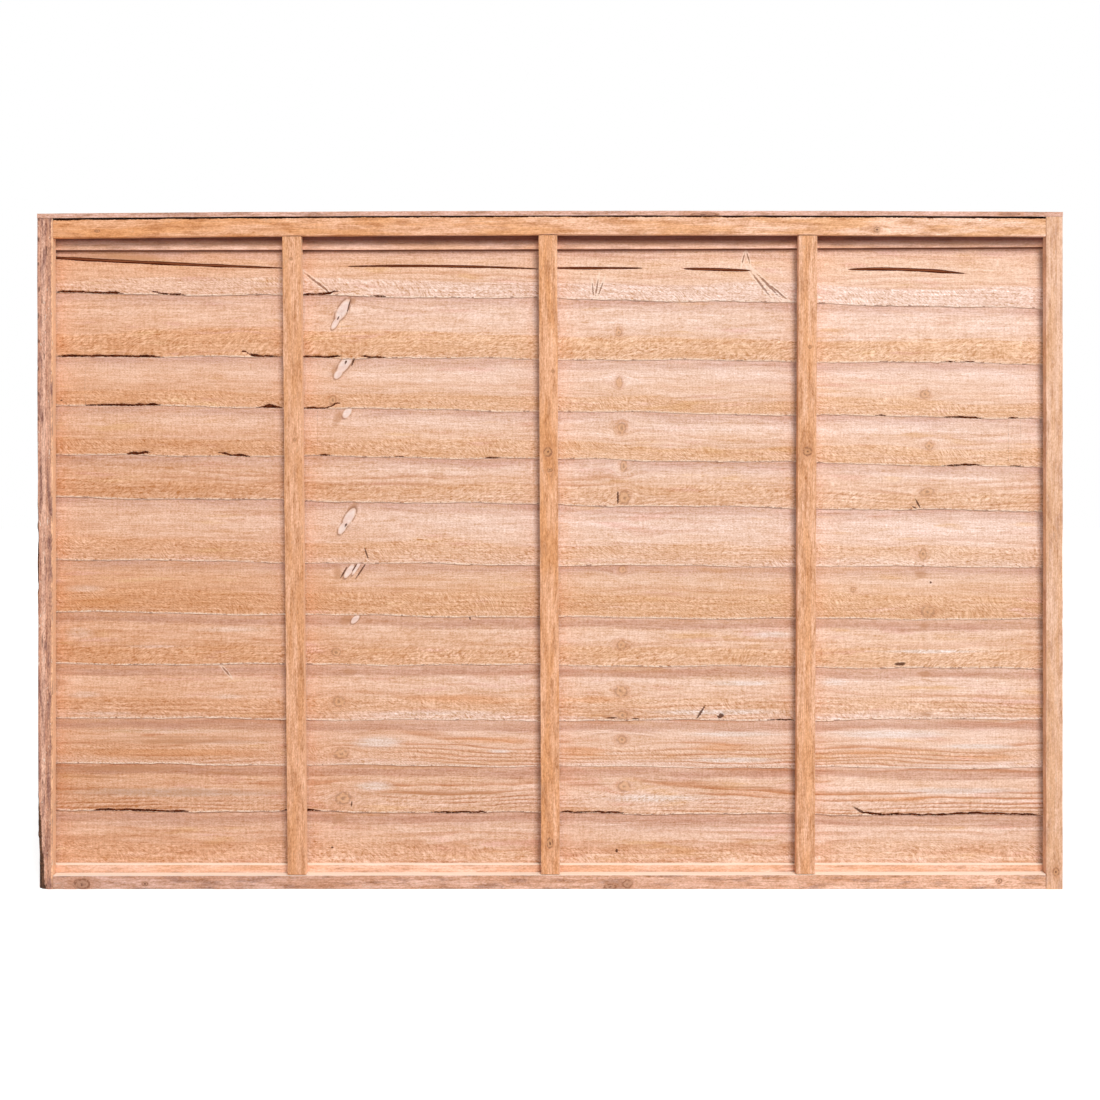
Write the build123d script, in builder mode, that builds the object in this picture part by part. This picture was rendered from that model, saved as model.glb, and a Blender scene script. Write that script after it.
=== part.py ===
from build123d import *
import math
import os

# Lap fence panel: thin lapped slats held between a front frame and a back frame, under a cap.
# Sizes are in millimetres. x runs along the panel, y from front to back and z up.
# The origin is on the ground, under the middle of the panel.

# Overall form: the height is at the middle of the cap, whose bowed ends drop a little
panel_width = 1828
panel_height = 1209.5
left_end_drop = 5
right_end_drop = 2
cap_thickness = 9

# Front frame: stiles, rails butted between them, and three battens that lean a little
front_depth = 20
left_stile_width = 28
left_stile_taper = 1.6
right_stile_width = 30
top_rail_height = 32.5
top_rail_gap_ends = 2.6
top_rail_gap_middle = 1.2
bottom_rail_height_left = 24.5
bottom_rail_height_right = 27
butt_gap = 0.5
batten_width = 33.5
batten_gap = 1.0
batten_names = ["left", "centre", "right"]
# Shift of each batten's top and foot from its place between equal bays
batten_shifts = [(-3.6, 5.8), (-3.7, 0.9), (2.9, -1.5)]

# Waney corner of the left stile: wide at the foot, gone above it, then a narrower stretch.
# Each row is a height, and the width and the depth of the missing corner there.
wane = [
    (0, 16, 10),
    (195, 1.5, 1.5),
    (380, 1.0, 1.0),
    (600, 4.5, 4.0),
    (800, 0.8, 0.8),
]

# Laths: thin strips in front of the first and the last slat
top_lath_show = 19
top_lath_height = 50
top_lath_rise_middle = 1.5
top_lath_rise_right = 5.8
bottom_lath_show = 15.5
ground_gap = 3

# Slats, counted from the top, each lapped over the next one down
slat_thickness = 6
slat_inset = 3
lap = 15
seat_gap = 0.2
# How far each lap line strays from even spacing at the left end, the middle and the right end
lap_wander = [
    (14, 5, -14),
    (-7, -12, -21),
    (-3, -14, -28),
    (-1, -8, -24),
    (16, 2, -11),
    (-4, -15, -18),
    (-7, -17, -21),
    (-10, -12, -19),
    (-13, -19, -15),
    (-4, -10, -13),
    (2, -2, -7),
]
# Waves of the sawn lower edges
long_wave = 1.3
long_wave_length = 420
short_wave = 0.8
short_wave_length = 170
wave_step = 56

# Splits along the grain of the first slat: start and end from its left end, the drop below
# the lath at the start, the middle and the end, and the width in the middle. The first split
# runs out at the slat's left end, so it starts beyond it.
splits = [
    (-120, 432, 4.5, 20.5, 32, 6.0),
    (546, 892, 29, 28.5, 33.5, 4.5),
    (905, 1077, 32, 32, 32, 4.0),
    (1150, 1272, 33, 34.5, 36.5, 4.6),
    (1447, 1658, 34.5, 34.5, 42, 6.5),
]
split_depth = 3

# Back frame
back_depth = 11
back_stile_width = 30
back_rail_height = 40
back_rail_gap = 3
back_batten_width = 33.5

# Nails, with their heads sunk just below the wood. They and their bores are eight-sided,
# which keeps the many small bores light.
nail_sides = 8
nail_radius = 1.3
nail_head_radius = 3.2
nail_head_thickness = 1.0
nail_head_sink = 0.3
nail_point = 3
nail_tip_radius = 0.2
nail_clearance = 0.05
frame_nail_bite = 14
cap_nail_bite = 12

# Heights along the panel, where u runs from -1 at the left end to 1 at the right end
half_width = panel_width / 2
half_slat = half_width - slat_inset
bay = panel_width / (len(batten_names) + 1)
edge_margin = 10


def through_three(left, middle, right, u):
    return middle + (right - left) / 2 * u + ((left + right) / 2 - middle) * u * u


cap_foot_middle = panel_height - cap_thickness
cap_foot_left = cap_foot_middle - left_end_drop
cap_foot_right = cap_foot_middle - right_end_drop
rail_foot_left = cap_foot_left - top_rail_gap_ends - top_rail_height
rail_foot_middle = cap_foot_middle - top_rail_gap_middle - top_rail_height
rail_foot_right = cap_foot_right - top_rail_gap_ends - top_rail_height
lath_foot = rail_foot_left - top_lath_show
lath_top = lath_foot + top_lath_height
bottom_lath_top = bottom_rail_height_left + bottom_lath_show


def cap_foot(x):
    return through_three(cap_foot_left, cap_foot_middle, cap_foot_right, x / half_width)


def rail_foot(x):
    return through_three(rail_foot_left, rail_foot_middle, rail_foot_right, x / half_width)


def bottom_rail_top(x):
    share = (x + half_width) / panel_width
    return bottom_rail_height_left + share * (bottom_rail_height_right - bottom_rail_height_left)


# Lap lines and the lean of each slat. A slat stands on the back frame at its top edge and
# leans forward until its lower edge clears the next slat.
slat_count = len(lap_wander) + 1
lap_pitch = (lath_foot - bottom_lath_top) / slat_count


def lap_height(number, u):
    """Height of the lower edge of a slat, without its waves."""
    if number == slat_count:
        return ground_gap
    left, middle, right = lap_wander[number - 1]
    return lath_foot - number * lap_pitch + through_three(left, middle, right, u)


def slat_top(number, u):
    """Height from which a slat leans: its top edge, or the foot of the lath on the first."""
    if number == 1:
        return lath_foot
    return lap_height(number - 1, u) + lap


def slat_rise(number, u):
    return slat_top(number, u) - lap_height(number, u)


def slat_leans(u):
    """Forward lean of each slat at one end, so that each clears the slat that it laps."""
    seat = slat_thickness + seat_gap
    leans = {slat_count: 0}
    for number in range(slat_count - 1, 0, -1):
        below = lap * leans[number + 1] / slat_rise(number + 1, u)
        steepest = seat / (1 - lap / slat_rise(number, u))
        leans[number] = max(seat + below, steepest)
    return leans


leans_left = slat_leans(-1)
leans_right = slat_leans(1)
deepest_bow = max(abs((left + right) / 2 - middle) for left, middle, right in lap_wander)
edge_dip = deepest_bow + long_wave + short_wave
steepest_slope = max(
    leans[number] / slat_rise(number, u)
    for leans, u in ((leans_left, -1), (leans_right, 1))
    for number in leans
)
deepest_lean = max(max(leans_left.values()), max(leans_right.values()))
slat_zone = slat_thickness + deepest_lean + edge_dip * steepest_slope + seat_gap
lath_thickness = slat_zone - slat_thickness

# Depths, from the front face to the back face
thickness = front_depth + slat_zone + back_depth
y_front = -thickness / 2
y_packed = y_front + front_depth
y_rear = y_packed + slat_zone
y_back = y_rear + back_depth

# Edges of the openings between the stiles
left_inner = -half_width + left_stile_width
right_inner = half_width - right_stile_width
back_left_inner = -half_width + left_stile_taper + back_stile_width
back_right_inner = half_width - back_stile_width
back_rail_top = min(cap_foot_left, cap_foot_right) - back_rail_gap
back_rail_foot = back_rail_top - back_rail_height

# Nail places: the frame nails as (x, z) on the back, the cap nails as (x, y) on the top
left_nail_x = -half_width + left_stile_taper + left_stile_width / 2
right_nail_x = half_width - right_stile_width / 2
batten_xs = [-half_width + (number + 1) * bay for number in range(len(batten_names))]
mid_bay_xs = [-half_width + (number + 0.5) * bay for number in range(len(batten_names) + 1)]
nail_xs = [left_nail_x, *batten_xs, right_nail_x]
top_nail_spots = [(x, rail_foot(x) + top_rail_height / 2) for x in nail_xs]
bottom_nail_spots = [(x, bottom_rail_top(x) / 2) for x in nail_xs]
cap_nail_y = y_front + front_depth / 2
cap_nail_xs = [left_nail_x, *mid_bay_xs, right_nail_x]
frame_nail_length = back_depth + slat_zone + frame_nail_bite
cap_nail_length = cap_thickness + cap_nail_bite


def drawn_at(y):
    """Plane of a front view at depth y, from which an extrusion runs towards the front."""
    return Plane.XZ.offset(-y)


def drill_from_back(spots):
    """Bores of the frame nails, in any piece that they pass through or end in."""
    with BuildSketch(drawn_at(y_back)) as bores:
        with Locations(*spots):
            RegularPolygon(nail_radius + nail_clearance, nail_sides)
    extrude(bores.sketch, amount=frame_nail_length, mode=Mode.SUBTRACT)


def sink_heads_in_back(spots):
    """Shallow sinkings for the heads of the frame nails."""
    with BuildSketch(drawn_at(y_back)) as sinks:
        with Locations(*spots):
            RegularPolygon(nail_head_radius + nail_clearance, nail_sides)
    extrude(sinks.sketch, amount=nail_head_sink + nail_head_thickness, mode=Mode.SUBTRACT)


def drill_from_cap(xs):
    """Bores of the cap nails, each down from the top of the cap at its own x."""
    for x in xs:
        with BuildSketch(Plane.XY.offset(cap_foot(x) + cap_thickness + nail_head_sink)) as bore:
            with Locations((x, cap_nail_y)):
                RegularPolygon(nail_radius + nail_clearance, nail_sides)
        extrude(bore.sketch, amount=-nail_head_sink - cap_nail_length, mode=Mode.SUBTRACT)


def save(piece, label):
    piece.part.label = label
    export_step(piece.part, f"parts/{label}.step")


os.makedirs("parts", exist_ok=True)

# Cap strip: a thin board over both frames, bowed up in the middle
with BuildPart() as cap_strip:
    with BuildSketch(drawn_at(y_back)):
        with BuildLine():
            ThreePointArc(
                (-half_width, cap_foot_left), (0, cap_foot_middle), (half_width, cap_foot_right)
            )
            Line((half_width, cap_foot_right), (half_width, cap_foot_right + cap_thickness))
            ThreePointArc(
                (half_width, cap_foot_right + cap_thickness),
                (0, panel_height),
                (-half_width, cap_foot_left + cap_thickness),
            )
            Line((-half_width, cap_foot_left + cap_thickness), (-half_width, cap_foot_left))
        make_face()
    extrude(amount=thickness)
    drill_from_cap(cap_nail_xs)
    for x in cap_nail_xs:
        with BuildSketch(Plane.XY.offset(cap_foot(x) + cap_thickness + nail_head_sink)):
            with Locations((x, cap_nail_y)):
                RegularPolygon(nail_head_radius + nail_clearance, nail_sides)
        extrude(amount=-2 * nail_head_sink - nail_head_thickness, mode=Mode.SUBTRACT)
save(cap_strip, "cap_strip")

# Left front stile: narrower at its foot, with the waney corner on its outer front edge
with BuildPart() as front_stile_left:
    with BuildSketch(drawn_at(y_packed)):
        with BuildLine():
            Polyline(
                (left_inner, 0),
                (left_inner, cap_foot_left),
                (-half_width, cap_foot_left),
                (-half_width + left_stile_taper, 0),
                close=True,
            )
        make_face()
    extrude(amount=front_depth)
    for height, width, depth in wane:
        outer_x = -half_width + left_stile_taper * (1 - height / cap_foot_left)
        with BuildSketch(Plane.XY.offset(height)):
            with BuildLine():
                Polyline(
                    (outer_x + width, y_front),
                    (outer_x, y_front),
                    (outer_x, y_front + depth),
                    close=True,
                )
            make_face()
    loft(ruled=True, mode=Mode.SUBTRACT)
    drill_from_back([top_nail_spots[0], bottom_nail_spots[0]])
    drill_from_cap([left_nail_x])
save(front_stile_left, "front_stile_left")

# Right front stile
with BuildPart() as front_stile_right:
    with BuildSketch(drawn_at(y_packed)):
        with BuildLine():
            Polyline(
                (right_inner, 0),
                (half_width, 0),
                (half_width, cap_foot_right),
                (right_inner, cap_foot_right),
                close=True,
            )
        make_face()
    extrude(amount=front_depth)
    drill_from_back([top_nail_spots[-1], bottom_nail_spots[-1]])
    drill_from_cap([right_nail_x])
save(front_stile_right, "front_stile_right")

# Top front rail: bowed with the cap, with a gap under it
with BuildPart() as front_top_rail:
    with BuildSketch(drawn_at(y_packed)):
        with BuildLine():
            rail_left = left_inner + butt_gap
            rail_right = right_inner - butt_gap
            foot_left = (rail_left, rail_foot(rail_left))
            foot_right = (rail_right, rail_foot(rail_right))
            head_left = (rail_left, rail_foot(rail_left) + top_rail_height)
            head_right = (rail_right, rail_foot(rail_right) + top_rail_height)
            ThreePointArc(foot_left, (0, rail_foot(0)), foot_right)
            Line(foot_right, head_right)
            ThreePointArc(head_right, (0, rail_foot(0) + top_rail_height), head_left)
            Line(head_left, foot_left)
        make_face()
    extrude(amount=front_depth)
    drill_from_back(top_nail_spots[1:-1])
    drill_from_cap(cap_nail_xs[1:-1])
save(front_top_rail, "front_top_rail")

# Bottom front rail: deeper towards its right end
with BuildPart() as front_bottom_rail:
    with BuildSketch(drawn_at(y_packed)):
        with BuildLine():
            Polyline(
                (left_inner + butt_gap, 0),
                (right_inner - butt_gap, 0),
                (right_inner - butt_gap, bottom_rail_top(right_inner)),
                (left_inner + butt_gap, bottom_rail_top(left_inner)),
                close=True,
            )
        make_face()
    extrude(amount=front_depth)
    drill_from_back(bottom_nail_spots[1:-1])
save(front_bottom_rail, "front_bottom_rail")

# Front battens: each leans between its own top and foot
for number, name in enumerate(batten_names):
    top_x = batten_xs[number] + batten_shifts[number][0]
    foot_x = batten_xs[number] + batten_shifts[number][1]
    half_batten = batten_width / 2
    head = min(rail_foot(top_x - half_batten), rail_foot(top_x + half_batten)) - batten_gap
    foot = bottom_rail_top(foot_x + half_batten) + batten_gap
    with BuildPart() as front_batten:
        with BuildSketch(drawn_at(y_packed)):
            with BuildLine():
                Polyline(
                    (foot_x - half_batten, foot),
                    (foot_x + half_batten, foot),
                    (top_x + half_batten, head),
                    (top_x - half_batten, head),
                    close=True,
                )
            make_face()
        extrude(amount=front_depth)
    save(front_batten, f"front_batten_{name}")

# Laths: thin strips packed between the front frame and the first and last slats. The foot of
# the top one rises towards its right end.
with BuildPart() as top_lath:
    with BuildSketch(drawn_at(y_packed + lath_thickness)):
        with BuildLine():
            ThreePointArc(
                (-half_slat, lath_foot),
                (0, lath_foot + top_lath_rise_middle),
                (half_slat, lath_foot + top_lath_rise_right),
            )
            Polyline(
                (half_slat, lath_foot + top_lath_rise_right),
                (half_slat, lath_top),
                (-half_slat, lath_top),
                (-half_slat, lath_foot),
            )
        make_face()
    extrude(amount=lath_thickness)
    drill_from_back(top_nail_spots)
save(top_lath, "top_lath")

with BuildPart() as bottom_lath:
    with BuildSketch(drawn_at(y_packed + lath_thickness)):
        with Locations((0, ground_gap)):
            Rectangle(2 * half_slat, bottom_lath_top - ground_gap, align=(Align.CENTER, Align.MIN))
    extrude(amount=lath_thickness)
    drill_from_back(bottom_nail_spots)
save(bottom_lath, "bottom_lath")


def slat_section(number, u, lean):
    """Corners (y, z) of one end of a slat, with spare depth below its lower edge."""
    lean_top = slat_top(number, u)
    foot = lap_height(number, u)
    slope = lean / (lean_top - foot)
    if number < slat_count:
        foot = foot - edge_margin - edge_dip
    reach = slope * (lean_top - foot)
    back = [(y_rear, lean_top), (y_rear - reach, foot)]
    if number == 1:
        back.insert(0, (y_rear, lath_top))
    front = [(y - slat_thickness, z) for y, z in reversed(back)]
    return back + front


def edge_wave(number, x):
    long_turn = 2 * math.pi * x / long_wave_length + 1.9 * number
    short_turn = 2 * math.pi * x / short_wave_length + 2.7 * number
    return long_wave * math.sin(long_turn) + short_wave * math.sin(short_turn)


def trim_lower_edge(number):
    """Trims a slat to its wavy lower edge, drawn in front view."""
    steps = math.ceil(2 * (half_slat + edge_margin) / wave_step)
    edge_points = []
    for step in range(steps + 1):
        x = (half_slat + edge_margin) * (2 * step / steps - 1)
        edge_points.append((x, lap_height(number, x / half_slat) + edge_wave(number, x)))
    above = max(slat_top(number, -1), slat_top(number, 1), lath_top) + edge_margin
    with BuildSketch(drawn_at(y_back)) as outline:
        with BuildLine():
            Spline(*edge_points)
            Polyline(
                edge_points[-1],
                (edge_points[-1][0], above),
                (edge_points[0][0], above),
                edge_points[0],
            )
        make_face()
    extrude(outline.sketch, amount=thickness, mode=Mode.INTERSECT)


def cut_splits():
    """Cuts the splits of the first slat, which do not go right through."""
    slope = (leans_left[1] + leans_right[1]) / 2 / slat_rise(1, 0)
    for start, end, drop_start, drop_middle, drop_end, width in splits:
        start_point = (start - half_slat, lath_foot - drop_start)
        end_point = (end - half_slat, lath_foot - drop_end)
        middle_x = (start + end) / 2 - half_slat
        middle_z = lath_foot - drop_middle
        floor_y = y_rear - slat_thickness - slope * drop_middle + split_depth
        with BuildSketch(drawn_at(floor_y)) as opening:
            with BuildLine():
                ThreePointArc(start_point, (middle_x, middle_z + width / 2), end_point)
                ThreePointArc(end_point, (middle_x, middle_z - width / 2), start_point)
            make_face()
        extrude(opening.sketch, amount=slat_zone, mode=Mode.SUBTRACT)


# Slats: each is ruled between its two ends and trimmed to a wavy lower edge
for number in range(1, slat_count + 1):
    with BuildPart() as slat:
        for u, lean in ((-1, leans_left[number]), (1, leans_right[number])):
            with BuildSketch(Plane.YZ.offset(u * half_slat)):
                with BuildLine():
                    Polyline(*slat_section(number, u, lean), close=True)
                make_face()
        loft(ruled=True)
        if number < slat_count:
            trim_lower_edge(number)
        else:
            drill_from_back(bottom_nail_spots)
        if number == 1:
            drill_from_back(top_nail_spots)
            cut_splits()
    save(slat, f"slat_{number:02d}")

# Back stiles, under the cap
back_stiles = [
    ("left", -half_width + left_stile_taper, back_left_inner, cap_foot_left, 0),
    ("right", back_right_inner, half_width, cap_foot_right, -1),
]
for name, x_from, x_to, head, nail in back_stiles:
    with BuildPart() as back_stile:
        with BuildSketch(drawn_at(y_back)):
            with Locations((x_from, 0)):
                Rectangle(x_to - x_from, head, align=(Align.MIN, Align.MIN))
        extrude(amount=back_depth)
        stile_nails = [top_nail_spots[nail], bottom_nail_spots[nail]]
        drill_from_back(stile_nails)
        sink_heads_in_back(stile_nails)
    save(back_stile, f"back_stile_{name}")

# Back rails, butted between the back stiles
back_rails = [
    ("top", back_rail_foot, top_nail_spots[1:-1]),
    ("bottom", 0, bottom_nail_spots[1:-1]),
]
for name, foot, rail_nails in back_rails:
    with BuildPart() as back_rail:
        with BuildSketch(drawn_at(y_back)):
            with Locations((back_left_inner + butt_gap, foot)):
                Rectangle(
                    back_right_inner - back_left_inner - 2 * butt_gap,
                    back_rail_height,
                    align=(Align.MIN, Align.MIN),
                )
        extrude(amount=back_depth)
        drill_from_back(rail_nails)
        sink_heads_in_back(rail_nails)
    save(back_rail, f"back_{name}_rail")

# Back battens, between the back rails
for number, name in enumerate(batten_names):
    with BuildPart() as back_batten:
        with BuildSketch(drawn_at(y_back)):
            with Locations((batten_xs[number], back_rail_height + batten_gap)):
                Rectangle(
                    back_batten_width,
                    back_rail_foot - back_rail_height - 2 * batten_gap,
                    align=(Align.CENTER, Align.MIN),
                )
        extrude(amount=back_depth)
    save(back_batten, f"back_batten_{name}")


def make_nail(length):
    """A nail with its head at the origin and its shank down the z axis."""
    narrowing = nail_radius - nail_tip_radius
    with BuildPart() as nail:
        with BuildSketch():
            RegularPolygon(nail_head_radius, nail_sides)
        extrude(amount=-nail_head_thickness)
        with BuildSketch(Plane.XY.offset(-nail_head_thickness)):
            RegularPolygon(nail_radius, nail_sides)
        extrude(amount=nail_head_thickness + nail_point - length)
        with BuildSketch(Plane.XY.offset(nail_point - length)):
            RegularPolygon(nail_radius, nail_sides)
        extrude(amount=-nail_point, taper=math.degrees(math.atan(narrowing / nail_point)))
    return nail.part


# Frame nails, driven from the back
with BuildPart() as frame_nails:
    frame_nail = make_nail(frame_nail_length - 2 * nail_head_sink)
    with Locations(
        *[
            Location((x, y_back - nail_head_sink, z), (-90, 0, 0))
            for x, z in top_nail_spots + bottom_nail_spots
        ]
    ):
        add(frame_nail)
save(frame_nails, "frame_nails")

# Cap nails, driven down through the cap
with BuildPart() as cap_nails:
    cap_nail = make_nail(cap_nail_length - 2 * nail_head_sink)
    with Locations(
        *[(x, cap_nail_y, cap_foot(x) + cap_thickness - nail_head_sink) for x in cap_nail_xs]
    ):
        add(cap_nail)
save(cap_nails, "cap_nails")
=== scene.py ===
"""A lap fence panel, 6 ft by 4 ft, seen from its batten side: rough-sawn slats in a rough-sawn frame."""

import math

import bpy
import numpy as np
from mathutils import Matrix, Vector
from mathutils.bvhtree import BVHTree


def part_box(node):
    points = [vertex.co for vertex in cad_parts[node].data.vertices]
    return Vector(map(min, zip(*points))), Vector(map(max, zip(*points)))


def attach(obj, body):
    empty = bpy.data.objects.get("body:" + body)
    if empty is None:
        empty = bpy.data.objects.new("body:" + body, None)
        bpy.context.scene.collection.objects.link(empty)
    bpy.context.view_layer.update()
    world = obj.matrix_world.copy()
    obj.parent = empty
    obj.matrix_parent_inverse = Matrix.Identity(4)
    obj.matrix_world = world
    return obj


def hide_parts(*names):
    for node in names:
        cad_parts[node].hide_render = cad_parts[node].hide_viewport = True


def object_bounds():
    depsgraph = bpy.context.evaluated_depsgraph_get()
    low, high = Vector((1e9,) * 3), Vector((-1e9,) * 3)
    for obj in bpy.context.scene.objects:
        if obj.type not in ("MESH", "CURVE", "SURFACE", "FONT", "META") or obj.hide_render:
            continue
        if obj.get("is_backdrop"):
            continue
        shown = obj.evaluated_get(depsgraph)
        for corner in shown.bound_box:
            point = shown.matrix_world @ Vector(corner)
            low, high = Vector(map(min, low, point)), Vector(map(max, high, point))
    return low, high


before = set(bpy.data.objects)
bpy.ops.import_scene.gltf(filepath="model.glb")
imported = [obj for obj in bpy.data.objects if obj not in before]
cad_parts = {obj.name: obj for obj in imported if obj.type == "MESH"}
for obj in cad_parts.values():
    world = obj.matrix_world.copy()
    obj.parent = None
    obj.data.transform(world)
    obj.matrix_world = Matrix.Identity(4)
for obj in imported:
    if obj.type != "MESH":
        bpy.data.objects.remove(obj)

CAD_LOW, CAD_HIGH = (tuple(corner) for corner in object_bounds())
MM = 0.001

# The photograph's frame, and where its pixels lie in the panel's front plane and in the slats' plane.
PHOTO_SIDE = 1100
MIDDLE_COLUMN = 550
GROUND_ROW = 889.4
FRONT_PIXEL = 1.7817 * MM
SLAT_PIXEL = 1.7925 * MM
SLAT_ROW = 240
SLAT_ROW_HEIGHT = 1157.1 * MM

SLAT_COUNT = 12
SLATS = [f"slat_{number:02d}" for number in range(1, SLAT_COUNT + 1)]

END_INSET = 0.05 * MM
LEAST_SPAN, LEAST_AHEAD = 1e-9, 1e-12
ROW_SEED, FIRST_ROW_SEED = 977, 500


def slat_spot(column, row):
    """The place along the panel and the height of a photograph's pixel that lies on a slat."""
    return (column - MIDDLE_COLUMN) * SLAT_PIXEL, SLAT_ROW_HEIGHT - (row - SLAT_ROW) * SLAT_PIXEL


def front_spot(column, row):
    """The same for a pixel that lies on the front frame."""
    return (column - MIDDLE_COLUMN) * FRONT_PIXEL, (GROUND_ROW - row) * FRONT_PIXEL


# Lines and noise along a timber

def seeded_heights(places, length, seed):
    """Seeded heights from -1 to 1, one every length, and where the places lie among them."""
    first = int(np.floor(places.min() / length)) - 1
    count = int(np.ceil(places.max() / length)) + 3 - first
    return np.random.default_rng(seed).uniform(-1, 1, count), places / length - first


def ease(value, start, end):
    """0 before start, 1 after end, smooth between."""
    part = np.clip((value - start) / (end - start), 0, 1)
    return part * part * (3 - 2 * part)


def ripple(places, length, seed):
    """A smooth line through the seeded heights."""
    heights, steps = seeded_heights(places, length, seed)
    whole = np.floor(steps).astype(int)
    part = ease(steps - whole, 0, 1)
    return heights[whole] * (1 - part) + heights[whole + 1] * part


def ragged(places, length, seed):
    """The same, with straight runs and sharp turns."""
    heights, steps = seeded_heights(places, length, seed)
    return np.interp(steps, np.arange(len(heights)), heights)


def sheet_ripple(along, across, along_length, across_length, seed):
    """Smooth seeded relief over a face, from -1 to 1."""
    low = across / across_length
    whole = np.floor(low).astype(int)
    part = ease(low - whole, 0, 1)
    result = np.zeros(np.broadcast(along, across).shape)
    for row in range(whole.min(), whole.max() + 2):
        line = ripple(along, along_length, seed + ROW_SEED * (row + FIRST_ROW_SEED))
        weight = np.where(whole == row, 1 - part, np.where(whole + 1 == row, part, 0))
        result = result + line * weight
    return result


# Meshes

def node_points(name):
    """The points and edges of a CAD node's mesh."""
    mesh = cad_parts[name].data
    points = np.empty(len(mesh.vertices) * 3)
    mesh.vertices.foreach_get("co", points)
    edges = np.empty(len(mesh.edges) * 2, dtype=np.int64)
    mesh.edges.foreach_get("vertices", edges)
    return points.reshape(-1, 3), edges.reshape(-1, 2)


def crossings(points, edges, axis, place):
    """Where the mesh's edges cross the plane at a place along an axis."""
    start, end = points[edges[:, 0]], points[edges[:, 1]]
    span = end[:, axis] - start[:, axis]
    over = ((start[:, axis] - place) * (end[:, axis] - place) <= 0) & (np.abs(span) > LEAST_SPAN)
    part = ((place - start[over, axis]) / span[over])[:, None]
    return start[over] + part * (end[over] - start[over])


def stations_between(first, last, step):
    """Even places from one end to the other, inset a little, about a step apart."""
    first, last = first + END_INSET, last - END_INSET
    return np.linspace(first, last, int(round((last - first) / step)) + 1)


def add_piece(name, points, faces, material, stands_for=(), smooth_angle=35.0, values=None):
    """A mesh piece on the panel, with its values stored point by point for its material."""
    mesh = bpy.data.meshes.new(name)
    mesh.from_pydata(points, [], faces)
    mesh.validate()
    for key, numbers in (values or {}).items():
        layer = mesh.attributes.new(key, "FLOAT", "POINT")
        layer.data.foreach_set("value", np.asarray(numbers, dtype=np.float32).ravel())
    mesh.shade_smooth()
    mesh.set_sharp_from_angle(angle=math.radians(smooth_angle))
    mesh.materials.append(material)
    piece = bpy.data.objects.new(name, mesh)
    bpy.context.scene.collection.objects.link(piece)
    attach(piece, "root")
    if stands_for:
        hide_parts(*stands_for)
    return piece


def loft_faces(stations, around):
    """Faces of a closed loft of rings, its two ends closed by one face each."""
    ring = np.arange(around)
    onward = np.roll(ring, -1)
    faces = []
    for station in range(stations - 1):
        near, far = station * around, (station + 1) * around
        faces += np.stack([near + ring, near + onward, far + onward, far + ring], 1).tolist()
    faces.append(ring[::-1].tolist())
    faces.append(((stations - 1) * around + ring).tolist())
    return faces


# Node trees

class Value:
    """What a node gives, with arithmetic that adds the nodes for it."""

    def __init__(self, wiring, socket):
        self.wiring, self.socket = wiring, socket

    def __add__(self, other):
        return self.wiring.math("ADD", self, other)

    def __sub__(self, other):
        return self.wiring.math("SUBTRACT", self, other)

    def __rsub__(self, other):
        return self.wiring.math("SUBTRACT", other, self)

    def __mul__(self, other):
        return self.wiring.math("MULTIPLY", self, other)

    def __truediv__(self, other):
        return self.wiring.math("DIVIDE", self, other)

    __radd__, __rmul__ = __add__, __mul__

    def step(self, start, end):
        """0 at the start and 1 at the end, smooth between."""
        inputs = {0: self, 1: start, 2: end}
        return self.wiring.value("MapRange", 0, inputs, interpolation_type="SMOOTHSTEP")

    def between(self, start, end, low, high):
        """Low at the start and high at the end, straight between."""
        return self.wiring.value("MapRange", 0, {0: self, 1: start, 2: end, 3: low, 4: high})

    def swing(self, amount):
        """A noise's swing about its middle, from about -amount to amount."""
        return self.wiring.math("MULTIPLY_ADD", self, 4 * amount, -2 * amount)


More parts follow.
